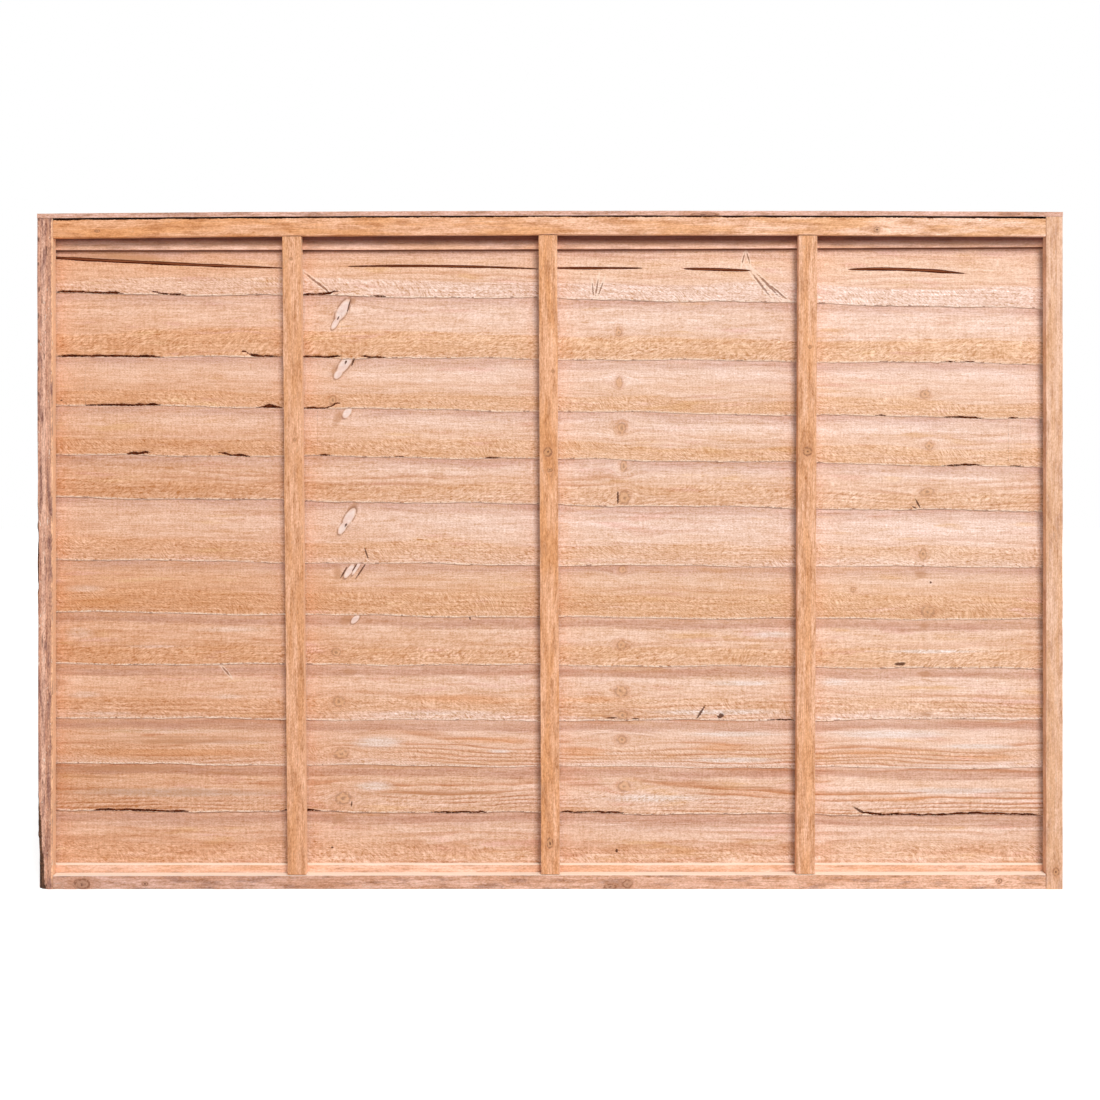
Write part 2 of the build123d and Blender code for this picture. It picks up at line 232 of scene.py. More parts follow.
class Wiring:
    """Short calls that build one node tree."""

    def __init__(self, tree):
        self.tree = tree

    def node(self, kind, inputs=(), **settings):
        node = self.tree.nodes.new(kind if kind.startswith("NodeGroup") else "ShaderNode" + kind)
        for key, value in settings.items():
            setattr(node, key, value)
        self.plug(node, inputs)
        return node

    def plug(self, node, inputs):
        """Link or set a node's inputs. A constant colour is given by its first three numbers."""
        for key, value in dict(inputs).items():
            socket = node.inputs[key]
            if isinstance(value, Value):
                self.tree.links.new(value.socket, socket)
            else:
                socket.default_value = (*value, 1.0) if socket.type == "RGBA" else value

    def value(self, kind, output, inputs=(), **settings):
        return Value(self, self.node(kind, inputs, **settings).outputs[output])

    def values(self, kind, inputs=(), **settings):
        return [Value(self, socket) for socket in self.node(kind, inputs, **settings).outputs]

    def math(self, operation, *values):
        return self.value("Math", 0, enumerate(values), operation=operation)

    def mix(self, cover, below, above, blend="MIX"):
        inputs = {0: cover, 6: below, 7: above}
        return self.value("Mix", 2, inputs, data_type="RGBA", blend_type=blend)

    def paint(self, colour, *layers):
        """The colour with others laid over it, each with how much it covers."""
        for cover, other in layers:
            colour = self.mix(cover, colour, other)
        return colour

    def shaded(self, colour, shade, tint):
        """The colour made lighter or darker by a share, more or less so by channel."""
        inputs = {0: self.vector(shade, shade, shade), 1: tint, 2: (1.0, 1.0, 1.0)}
        scale = self.value("VectorMath", 0, inputs, operation="MULTIPLY_ADD")
        return self.mix(1.0, colour, scale, "MULTIPLY")

    def vector(self, x, y, z):
        return self.value("CombineXYZ", 0, {0: x, 1: y, 2: z})

    def noise(self, vector, scale, detail=1.0, roughness=0.5):
        inputs = {"Vector": vector, "Scale": scale, "Detail": detail, "Roughness": roughness}
        return self.value("TexNoise", "Fac", inputs)

    def weave(self, along, along_scale, across, across_scale, third, detail=1.0, roughness=0.5):
        """Noise with its own scale along and across the grain."""
        place = self.vector(along * along_scale, across * across_scale, third)
        return self.noise(place, 1.0, detail, roughness)

    def run(self, along, scale, seed, detail):
        """Noise that changes along the grain only."""
        return self.noise(self.vector(along * scale, seed, 0.0), 1.0, detail, 0.7)

    def place(self):
        """The place on the panel, and its three parts."""
        place = self.value("TexCoord", "Object")
        return place, *self.values("SeparateXYZ", {0: place})

    def stored(self, name):
        return self.value("Attribute", "Fac", attribute_name=name)


# Wood

PALE_LEFT, PALE_RIGHT = (0.86, 0.54, 0.39), (0.91, 0.665, 0.56)
ORANGE_LEFT, ORANGE_RIGHT = (0.79, 0.415, 0.23), (0.835, 0.51, 0.32)
ORANGE_PATCH, PINK_PATCH = (0.82, 0.5, 0.27), (0.82, 0.47, 0.38)
LATE = (0.6, 0.26, 0.12)
# The next two tones are painted shade under each slat's lap above, partly grime.
LAP_SHADE_AND_GRIME, LOW_LAP_SHADE_AND_GRIME = (0.64, 0.37, 0.29), (0.6, 0.32, 0.225)
# The next tone is the pale tone of loose fibres and worn arrises, and also a painted highlight on frayed
# edges, raised slivers and just under each lap.
FIBRE_AND_HIGHLIGHT = (0.98, 0.8, 0.66)
# The first tone is pale fresh wood and also painted light on upward faces and top arrises; SHADED_WOOD is
# painted shade.
FRESH_WOOD_AND_TOP_LIGHT, SHADED_WOOD = (1, 0.86, 0.72), (0.1, 0.045, 0.03)
# EDGE_LIGHT is painted light on the slats' lowest edges and undersides.
EDGE_LIGHT, EDGE_TICK = (1, 0.74, 0.55), (0.26, 0.1, 0.06)
# The gap tones are painted shade in the gaps along the slats' lower edges; the first also colours dark
# specks.
GAP_SHADE_AND_SPECK, GAP_SIDE_SHADE = (0.042, 0.007, 0.002), (0.15, 0.036, 0.013)
CRACK, SLIVER_SHADOW = (0.09, 0.025, 0.01), (0.24, 0.1, 0.055)
# Painted light and shade inside the first slat's splits, over their own dark brown wood.
SPLIT_LIT, SPLIT_SHADED = (0.27, 0.08, 0.034), (0.075, 0.012, 0.003)
# Painted shadow below the top lath, and painted shade along the top rail's top under the cap.
LATH_SHADOW, HEAD_SHADE = (0.2, 0.075, 0.045), (0.06, 0.014, 0.004)
SMUDGE = (0.5, 0.235, 0.115)
PALE_STREAK, ORANGE_STREAK = (0.905, 0.785, 0.745), (0.77, 0.36, 0.16)
GREY_STREAK = (0.71, 0.44, 0.34)
FLECK, MARK = (0.2, 0.085, 0.05), (0.16, 0.075, 0.05)
BARK, BARK_RIDGE = (0.06, 0.028, 0.018), (0.2, 0.09, 0.05)
SPIKE, SPIKE_GRAIN, SPIKE_EDGE, SPIKE_RIM = ((0.9, 0.71, 0.63), (0.82, 0.59, 0.51), (0.8, 0.54, 0.42),
                                             (0.36, 0.17, 0.10))
SLAT_KNOT, TIMBER_KNOT = (0.75, 0.43, 0.24), (0.6, 0.31, 0.15)
KNOT_RING, KNOT_RIM, KNOT_HEART = (0.52, 0.24, 0.12), (0.32, 0.135, 0.07), (0.16, 0.06, 0.035)
WOOD_GLOSS = 0.18

# How much more a shade shows in blue and less in red: brown darks on the slats, and on the frame
SLAT_TINT, FRAME_TINT = (0.66, 1, 1.34), (0.68, 1, 1.4)


def knot_group():
    """Node group: how far out of one knot a place is, and how far its grain bends round it."""
    group = bpy.data.node_groups.new("knot", "ShaderNodeTree")
    for name in ("Along", "Across", "Knot along", "Knot across", "Half length", "Half width", "Tilt"):
        group.interface.new_socket(name, in_out="INPUT", socket_type="NodeSocketFloat")
    for name in ("Out", "Bend"):
        group.interface.new_socket(name, in_out="OUTPUT", socket_type="NodeSocketFloat")
    w = Wiring(group)
    x, z, knot_x, knot_z, half_length, half_width, tilt, *_ = w.values("NodeGroupInput")
    along, across = x - knot_x, z - knot_z
    cosine, sine = w.math("COSINE", tilt), w.math("SINE", tilt)
    long_part = (along * cosine + across * sine) / half_length
    wide_part = (across * cosine - along * sine) / half_width
    out = w.math("SQRT", long_part * long_part + wide_part * wide_part)
    flow_along, flow_across = along / (half_length * 2.2), across / (half_width * 1.1)
    reach = w.math("MAXIMUM", flow_along * flow_along + flow_across * flow_across, 0.8)
    w.node("NodeGroupOutput", {"Out": out, "Bend": across * -1 / reach})
    return group


KNOT_GROUP = knot_group()


def place_knots(w, along, across, knots):
    """The nearest knot's outward distance, if there are knots, and all the knots' bend."""
    out, bend = None, 0.0
    for knot in knots:
        near, turned = w.values("Group", enumerate((along, across, *knot)), node_tree=KNOT_GROUP)
        out = w.math("MINIMUM", out, near) if out else near
        bend = bend + turned
    return out, bend


def growth_lines(w, along, across, depth, pith, spacing, seed):
    """Darkness of the summer wood: dark lines where the surface cuts the log's rings."""
    drift = w.noise(w.vector(along, seed, 0), 2.2).between(0.3, 0.7, -0.01, 0.01)
    fine = w.weave(along, 9, across, 60, seed).between(0.3, 0.7, -0.0012, 0.0012)
    off, deep = across - pith[0] + drift, depth + pith[1]
    radius = w.math("SQRT", off * off + deep * deep)
    saw = w.math("FRACT", (radius + fine) / spacing)
    return saw.step(0.35, 0.85) * saw.step(1, 0.9)


def finish_wood(w, colour, streak, height, strength, depth, dark=None):
    """The wood's shader, dry and dull, with its fine relief, and without any gloss in its dark gaps."""
    bump = w.value("Bump", 0, {"Strength": strength, "Distance": depth, "Height": height})
    gloss = dark.between(0, 1, WOOD_GLOSS, 0) if dark else WOOD_GLOSS
    w.plug(w.tree.nodes["Principled BSDF"],
           {"Base Color": colour, "Roughness": streak.between(0.3, 0.7, 0.78, 0.92), "Normal": bump,
            "Specular IOR Level": gloss})


def new_material(name):
    material = bpy.data.materials.new(name)
    material.use_nodes = True
    return material, Wiring(material.node_tree)


def paint_spikes(w, colour, out, x, z, seed):
    """Pale knots cut lengthwise: a smooth pinkish sliver with a brown rim."""
    if not out:
        return colour
    grain = w.weave(x, 110, z, 110, seed)
    ragged_out = out + grain.swing(0.05)
    halo = ragged_out.step(1.36, 1) * grain.step(0.3, 0.56)
    body = w.mix(grain.step(0.35, 0.65), SPIKE, SPIKE_GRAIN)
    body = w.mix(out.step(0.6, 0.95), body, SPIKE_EDGE)
    return w.paint(colour, (halo * 0.85, SPIKE_RIM), (ragged_out.step(1, 0.86), body))


def paint_rings(w, colour, out, place, body, strength, rim_strength):
    """Round knots: a broken brown rim, faint rings inside and a dark heart, none quite round."""
    if not out:
        return colour
    uneven = w.noise(place, 200)
    out = out + uneven.swing(0.24)
    saw = w.math("FRACT", out * 2.4)
    inside = w.mix(saw.step(0.45, 0.8) * saw.step(1, 0.9) * 0.45, body, KNOT_RING)
    rim = out.step(0.68, 0.95) * out.step(1.28, 1) * uneven.step(0.32, 0.52)
    return w.paint(colour,
                   (out.step(2.2, 1) * (0.3 * strength), LATE),
                   (out.step(1.05, 0.8) * (0.6 * strength), inside),
                   (rim * (0.80 * rim_strength), KNOT_RIM),
                   (out.step(0.34, 0.14) * (0.75 * rim_strength), KNOT_HEART))


# Looks of the slats

# Each slat's tones: how pale it is along its lower edge, in its lower part, above the turn and near
# its top, the share of its height where it turns, its brightness at its left end and to the right,
# and how strongly its growth rings show
SLAT_TONES = [
    (1.10, 1.15, 0.50, 0.42, 0.33, 0.91, 0.92, 0.40),
    (0.12, 0.05, 0.68, 0.85, 0.38, 0.89, 0.90, 0.25),
    (0.15, 0.12, 0.55, 0.90, 0.30, 0.88, 0.90, 0.30),
    (0.12, 0.14, 0.52, 0.92, 0.35, 0.84, 0.89, 0.30),
    (0.32, 0.25, 0.52, 0.92, 0.40, 0.78, 0.86, 0.55),
    (0.60, 0.30, 0.75, 1.08, 0.35, 0.86, 0.89, 0.35),
    (0.08, 0.06, 0.28, 0.55, 0.45, 0.82, 0.83, 0.35),
    (0.15, 0.12, 0.45, 0.60, 0.40, 0.82, 0.87, 0.35),
    (1, 0.30, 0.55, 0.75, 0.38, 0.85, 0.87, 0.60),
    (1.05, 0.50, 0.65, 0.80, 0.40, 0.79, 0.87, 0.85),
    (0.45, 0.75, 0.65, 0.60, 0.38, 0.76, 0.86, 1),
    (0.60, 0.42, 0.60, 0.80, 0.40, 0.87, 0.87, 0.50),
]
FIRST_LOW_BAND = 8
WOOL_SLANTS = (0.30, 0.45, -0.25)


# Knots, cracks and stains of the slats, in the photograph's pixels:
# the slat, its column and row, half its length and half its width, and its tilt in degrees if it has one
SPIKE_KNOTS = [
    (2, 341.8, 308.8, 13.5, 5.2, 60), (2, 335, 321.5, 8, 3, 60), (3, 344.5, 362, 13.5, 5.2, 55),
    (3, 337.5, 373, 6, 3.6, 50), (4, 346.5, 411.5, 7, 3.8, 55), (6, 348.5, 516.5, 11.5, 4.6, 58),
    (6, 342, 527, 8, 3.6, 60), (7, 348.5, 570.5, 9, 3.2, 55), (7, 356.5, 566.5, 10.5, 1.7, 57),
    (8, 354.5, 619, 6, 3, 45),
]
RING_KNOTS = [
    (3, 332, 399, 3.5, 4.5), (8, 335.5, 651.7, 4.5, 4), (9, 338.4, 701.1, 6, 5),
    (10, 340.3, 753.7, 6.8, 5, 8), (11, 342.6, 798, 7.5, 6, 10), (2, 619, 331, 3, 4),
    (3, 619.5, 381, 3, 5), (4, 622, 427, 4, 5.5), (5, 624, 465, 3.4, 6),
    (5, 624.5, 497, 5.5, 7), (7, 623, 569, 4, 4), (8, 621.7, 644.8, 4.5, 4.5),
    (9, 621.2, 691, 6, 5.2), (9, 622.5, 715, 5.5, 4.5), (10, 622, 739.6, 5, 4.2),
    (11, 624.3, 786.5, 6, 5), (3, 926, 393, 5, 4, 20), (4, 930, 445, 4, 4),
    (5, 928, 491, 7, 3.6, 8), (6, 924, 554, 3.6, 5.5), (7, 928.6, 611.3, 6.5, 5.5),
    (7, 854, 589, 2.5, 2.5),
]
SLIVERS = [
    (1, 315, 280, 15, 1.3, -38), (1, 326, 289, 9, 1, -50), (1, 597, 286, 9, 1, 80),
    (1, 601, 287, 8, 0.9, 70), (1, 593, 288, 7, 0.9, 95), (1, 762, 284, 17, 1.3, -52),
    (1, 770, 285, 18, 1.4, -46), (1, 778, 290, 13, 1.2, -40), (1, 744, 257, 6, 0.9, 75),
    (1, 749, 256, 6, 0.9, 105), (9, 224.5, 670.5, 6, 1, -48), (7, 259, 616, 3, 1, 60),
]
CRACKS = [
    (2, 337.6, 316.5, 2.6, 0.9, 62), (2, 348, 305, 9, 0.7, 76), (3, 345, 361, 2.4, 1.2, 65),
    (3, 353, 359, 8, 1, 70), (5, 618, 496, 7.5, 1.2, 90), (5, 919, 503, 6, 1, -62),
    (5, 916, 507, 4, 0.8, -30), (6, 345.5, 524, 2.6, 1, 60), (6, 366, 553, 7, 0.9, -72),
    (7, 354, 567, 6, 0.8, 57), (7, 360.5, 570, 11, 0.9, 57), (7, 343, 572, 8, 0.9, 60),
    (8, 469, 616, 5, 1.1, -70), (7, 931.8, 582, 1.2, 1.2), (8, 901, 663.6, 6, 2, 5),
    (9, 635.5, 718.6, 4, 0.9, 4), (9, 612, 717.6, 6, 0.9), (9, 701, 712.4, 8.5, 1.3, 58),
    (9, 721, 715.6, 4.4, 2.4, 30), (11, 351, 804, 3.5, 0.8, 80), (11, 860.5, 810.6, 8, 1.5, -30),
    (12, 331.5, 848.1, 1.4, 1.2), (12, 617, 851.5, 1.4, 1.8),
]
SMUDGES = [
    (1, 120, 256, 60, 5), (2, 352, 299, 5, 4, 45), (3, 334, 371, 4, 8), (4, 337, 418, 10, 5, 60),
    (6, 351, 507, 9, 3.5, 50), (7, 337, 572, 5, 8), (8, 345, 620, 9, 6, 25), (7, 922, 573.5, 9, 5),
    (8, 925.4, 625.5, 7, 4.5), (9, 349, 672, 8, 4.5), (9, 608, 716.6, 7, 2.8), (9, 926, 674, 7, 3.5),
    (9, 927, 714, 8, 3.5), (10, 347.7, 760.9, 4.5, 1.8, 20), (10, 170, 737, 112, 1.1),
    (10, 603, 733.6, 19, 0.9, 2), (10, 642, 735.4, 18, 0.9, -7), (11, 95, 777, 38, 1.2, -2),
    (11, 222, 773, 52, 1.2, -4), (11, 590, 784.6, 32, 1.2, 1), (11, 650, 781.8, 26, 1),
    (11, 755, 787, 36, 1), (12, 338, 819, 9, 4), (11, 130, 769, 90, 3.5), (11, 170, 792, 130, 4.5),
    (11, 420, 766, 100, 3), (11, 430, 793, 100, 3), (10, 180, 741, 90, 3),
]
PALE_STREAKS = [
    (8, 771, 634, 26, 4.5), (8, 935, 651, 62, 2.5), (9, 747, 683, 48, 3.2), (9, 717, 712, 80, 4),
    (9, 835, 682, 18, 4.5), (10, 378, 742, 30, 7), (10, 500, 751, 14, 2.4), (10, 736, 734, 60, 3.2),
    (10, 733, 760, 62, 3.2), (10, 887, 734, 72, 5), (10, 978, 746, 52, 2.8), (11, 174, 792, 110, 5),
    (11, 374, 786, 22, 6), (11, 658, 798, 60, 5), (11, 962, 791, 74, 4),
]
SOFT_STREAKS = [
    (7, 85, 588, 24, 5), (8, 77, 633, 16, 7), (8, 156, 646, 38, 2.4), (8, 232, 629, 47, 3.5),
    (9, 83, 694, 20, 4), (9, 227, 696, 21, 3), (9, 102, 713, 42, 2.2), (9, 423, 713, 115, 3.5),
    (10, 168, 731, 82, 2.5), (10, 227, 742, 58, 2.8),
]
ORANGE_STREAKS = [
    (7, 95, 602, 40, 6), (9, 461, 699, 80, 5.5), (9, 593, 700, 34, 4.5), (10, 166, 752, 108, 5),
    (10, 488, 740, 50, 4), (10, 586, 751, 28, 6), (10, 724, 747, 36, 5), (10, 871, 752, 54, 4.5),
    (10, 982, 757, 54, 4), (11, 753, 793, 44, 2.8, -3), (11, 895, 799, 62, 3.2),
]
GREY_STREAKS = [
    (12, 677, 827, 120, 6), (12, 170, 824, 115, 4.5),
]

# The streaks' tones, and how much they cover
STREAKS = (
    (ORANGE_STREAK, 0.50, ORANGE_STREAKS),
    (PALE_STREAK, 0.68, PALE_STREAKS),
    (PALE_STREAK, 0.26, SOFT_STREAKS),
    (GREY_STREAK, 0.55, GREY_STREAKS),
)


def features(number, rows):
    """One slat's rows of a table: places, half sizes and tilts, in metres and radians."""
    found = []
    for slat, column, row, half_length, half_width, *tilt in rows:
        if slat == number:
            turned = math.radians(tilt[0]) if tilt else 0.0
            found.append((*slat_spot(column, row), half_length * SLAT_PIXEL, half_width * SLAT_PIXEL, turned))
    return found


class SlatGrain:
    """The places, stored values and noises that a slat's material works from."""

    def __init__(self, w, number):
        seed = self.seed = number * 3.7
        self.place, self.x, y, self.z = w.place()
        x, z = self.x, self.z
        self.spike_out, spike_bend = place_knots(w, x, z, features(number, SPIKE_KNOTS))
        self.ring_out, ring_bend = place_knots(w, x, z, features(number, RING_KNOTS))
        grain = w.stored("board") + (spike_bend + ring_bend)
        self.broad = w.weave(x, 3, grain, 26, seed, 2)
        self.streak = w.weave(x, 7, grain, 210, seed, 3, 0.65)
        self.patch = w.weave(x, 11, grain, 75, seed + 3, 2)
        self.thread = w.weave(x, 34, grain, 540, seed, 1, 0.6)
        self.fuzz = w.weave(x, 300, z, 520, seed, 1, 0.7)
        sway = w.weave(x, 9, z, 12, seed + 9).swing(0.02)
        slant = z + (sway + x * WOOL_SLANTS[number % len(WOOL_SLANTS)])
        self.wool = w.weave(x, 150, slant, 440, seed, 2, 0.65)
        self.saw_marks = w.weave(x, 360, z, 40, seed)
        self.lines = growth_lines(w, x, grain, y, (0.070, 0.055), 0.0052, seed)
        self.lift, self.drop, self.gap = w.stored("lift"), w.stored("drop"), w.stored("gap")
        self.level = w.stored("rise") + (self.broad.swing(0.1) + self.streak.swing(0.035))
        self.shown = 1 - w.stored("rear")
        self.side = x.step(-0.9, 0.1)

    def knots_out(self, w, number, rows):
        return place_knots(w, self.x, self.z, features(number, rows))[0]


def slat_ground(w, g, tones):
    """A slat's tone from its lower edge up, with its growth rings."""
    pale_foot, pale_low, pale_high, pale_top, turn, _, _, figure = tones
    pale = pale_low + g.level.step(0.16, 0.04) * (pale_foot - pale_low)
    pale = pale + g.level.step(turn - 0.04, turn + 0.04) * (pale_high - pale_low)
    pale = pale + g.level.step(turn + 0.05, 0.78) * (pale_top - pale_high) + g.patch.swing(0.18)
    orange, pink = w.mix(g.side, ORANGE_LEFT, ORANGE_RIGHT), w.mix(g.side, PALE_LEFT, PALE_RIGHT)
    hue = g.patch.between(0.3, 0.7, -1, 1) * g.broad.between(0.35, 0.65, 1, -1)
    ringed = (g.broad + g.patch.swing(0.1)).step(0.4, 0.58) * (0.75 * figure)
    return w.paint(w.mix(w.math("MAXIMUM", pale, 0), orange, pink),
                   (hue.step(0.25, 0.9) * 0.55, ORANGE_PATCH),
                   (hue.step(-0.25, -0.9) * 0.55, PINK_PATCH),
                   (g.lines * (ringed + 0.15 * figure), LATE))


def slat_lap_shade_and_grime(w, g, number, colour):
    """Painted shade of the lap above, partly grime: right under the lap or, on the lower slats, in a band a
    little below it.
    """
    wavy_drop = g.drop + g.streak.swing(0.005)
    if number < FIRST_LOW_BAND:
        band = wavy_drop.step(0.026, 0.003) * g.patch.between(0.35, 0.65, 0.35, 0.95)
    else:
        band = wavy_drop.step(0.003, 0.011) * wavy_drop.step(0.024, 0.015)
        # On the lower slats, more painted shade right under the lap.
        band = band * g.patch.between(0.35, 0.65, 0.6, 1) + g.drop.step(0.012, 0.002) * 0.5
    return w.mix(band * 0.85 * g.shown, colour, LAP_SHADE_AND_GRIME if number < FIRST_LOW_BAND else LOW_LAP_SHADE_AND_GRIME)


def slat_shade(g, tones):
    """How much lighter or darker a slat is, place by place, most of all in its woolly part."""
    turn, bright_left, bright_right, figure = tones[4:]
    smooth = 1.15 - 0.5 * figure
    woolly = g.level.step(turn + 0.03, turn - 0.03).between(0, 1, 0.22, 1)
    woolly = woolly * g.patch.between(0.35, 0.65, 0.75 * smooth, 1.3 * smooth)
    fine = g.streak.swing(0.12) + g.thread.swing(0.15) + g.fuzz.swing(0.22) + g.saw_marks.swing(0.07)
    broad = g.side.between(0, 1, bright_left - 1, bright_right - 1) + g.x.step(0.42, 0.5) * 0.05
    return fine + g.wool.swing(0.4) * woolly + g.patch.swing(0.06) + broad


def paint_stain(w, g, number, colour, stain_and_shade, strength, rows):
    """Soft-edged streaks or smudges of one tone."""
    out = g.knots_out(w, number, rows)
    if not out:
        return colour
    return w.mix((out + g.patch.swing(0.25)).step(1.15, 0.25) * strength, colour, stain_and_shade)


def slat_marks(w, g, number, colour):
    """A slat's specks, smudges, knots, slivers and cracks."""
    speck = (g.fuzz + g.patch.swing(0.06)).step(0.8, 0.86)
    colour = w.mix(speck * 0.5, colour, GAP_SHADE_AND_SPECK)
    colour = paint_stain(w, g, number, colour, SMUDGE, 0.62, SMUDGES)
    colour = paint_spikes(w, colour, g.spike_out, g.x, g.z, g.seed)
    colour = paint_rings(w, colour, g.ring_out, g.place, SLAT_KNOT, 1.0, 0.6)
    slivers, cracks = g.knots_out(w, number, SLIVERS), g.knots_out(w, number, CRACKS)
    if slivers:
        # A painted highlight round each raised sliver and painted shadow within it.
        slivers = slivers + g.wool.swing(0.3)
        raised = slivers.step(0.9, 1.2) * slivers.step(2, 1.5)
        colour = w.paint(colour, (raised * 0.5, FIBRE_AND_HIGHLIGHT), (slivers.step(1, 0.6) * 0.75, SLIVER_SHADOW))
    if cracks:
        colour = w.mix((cracks + g.wool.swing(0.3)).step(1, 0.7) * 0.9, colour, CRACK)
    return colour


def slat_edges(w, g, number, colour):
    """Painted light on a slat's lowest edge and underside, a painted highlight on its frayed fibres, dark
    ticks along that edge, and painted light just under the lap above.
    """
    if number > 1:
        # Painted light on the slat just under the lap above, where the lap's shadow falls.
        colour = w.mix(g.drop.step(0.0016, 0.0005) * g.shown * 0.45, colour, FIBRE_AND_HIGHLIGHT)
    if number == SLAT_COUNT:
        return colour
    frayed_highlight = g.lift.step(0.0034, 0.0008) * g.fuzz.step(0.38, 0.52) * g.shown
    ticks = w.run(g.x, 62, g.seed, 2).step(0.57, 0.64)
    ticks = ticks * (g.lift + g.fuzz.swing(0.0008)).step(0.0022, 0.001)
    # Painted light on the lowest edge and underside, a painted highlight on the frayed fibres, then dark
    # ticks.
    return w.paint(colour,
                   (g.lift.step(0.0008, 0.0002) * 0.7, EDGE_LIGHT),
                   (frayed_highlight * (0.55 if number < FIRST_LOW_BAND - 1 else 0.75), FIBRE_AND_HIGHLIGHT),
                   (ticks * g.shown * 0.75, EDGE_TICK))


def slat_gaps(w, g, number, colour):
    """Painted shade in the gaps at a slat's lower edge, painted light and shade in the first slat's splits,
    painted shadow below the top lath, and how dark each place is.
    """
    # Near-black painted shade in the gaps under the slat's lower edge.
    dark = (g.gap + g.fuzz.swing(0.001)).step(-0.0003, 0.0005)
    colour = w.mix(dark, colour, w.mix(g.wool.step(0.4, 0.6), GAP_SHADE_AND_SPECK, GAP_SIDE_SHADE))
    if number > 1:
        return colour, dark
    # Painted light and shade inside the first slat's splits, over their dark wood, and painted shadow below
    # the top lath.
    torn = (w.stored("split") + g.fuzz.swing(0.0005)).step(-0.0007, 0.0003)
    deep = (w.stored("splitside") + g.thread.swing(0.0006)).step(0.0004, -0.0014)
    inside = w.shaded(w.mix(deep, SPLIT_LIT, SPLIT_SHADED), g.streak.swing(0.25), SLAT_TINT)
    colour = w.paint(colour, (torn, inside), (g.drop.step(0.0045, 0.001), LATH_SHADOW))
    return colour, w.math("MAXIMUM", dark, torn)


def slat_material(number):
    """Rough-sawn slat: painted shade and some grime under the lap above, then pale, then orange and woolly to
    its lower edge.
    """
    material, w = new_material(f"slat_wood_{number:02d}")
    g = SlatGrain(w, number)
    tones = SLAT_TONES[number - 1]
    colour = slat_lap_shade_and_grime(w, g, number, slat_ground(w, g, tones))
    for stain_and_shade, strength, rows in STREAKS:
        colour = paint_stain(w, g, number, colour, stain_and_shade, strength, rows)
    colour = w.shaded(colour, slat_shade(g, tones), SLAT_TINT)
    colour = slat_edges(w, g, number, slat_marks(w, g, number, colour))
    colour, dark = slat_gaps(w, g, number, colour)
    finish_wood(w, colour, g.streak, g.streak * 0.5 + (g.wool + g.thread * 0.5), 0.5, 0.0010, dark)
    return material


def timber_faces(w, colour, lit_flank, ledge, under):
    """Painted light and shade by the way a timber's faces point: lighter on its right side, and the given
    tones on its upper side and underside.
    """
    facing = w.value("NewGeometry", "Normal")
    rightward, _, upward = w.values("SeparateXYZ", {0: facing})
    if lit_flank:
        colour = w.mix(rightward.step(0.5, 0.85) * 0.8, colour, lit_flank)
    if ledge:
        colour = w.mix(upward.step(0.5, 0.85) * 0.85, colour, ledge)
    if under:
        colour = w.mix(upward.step(-0.5, -0.85), colour, under)
    return colour


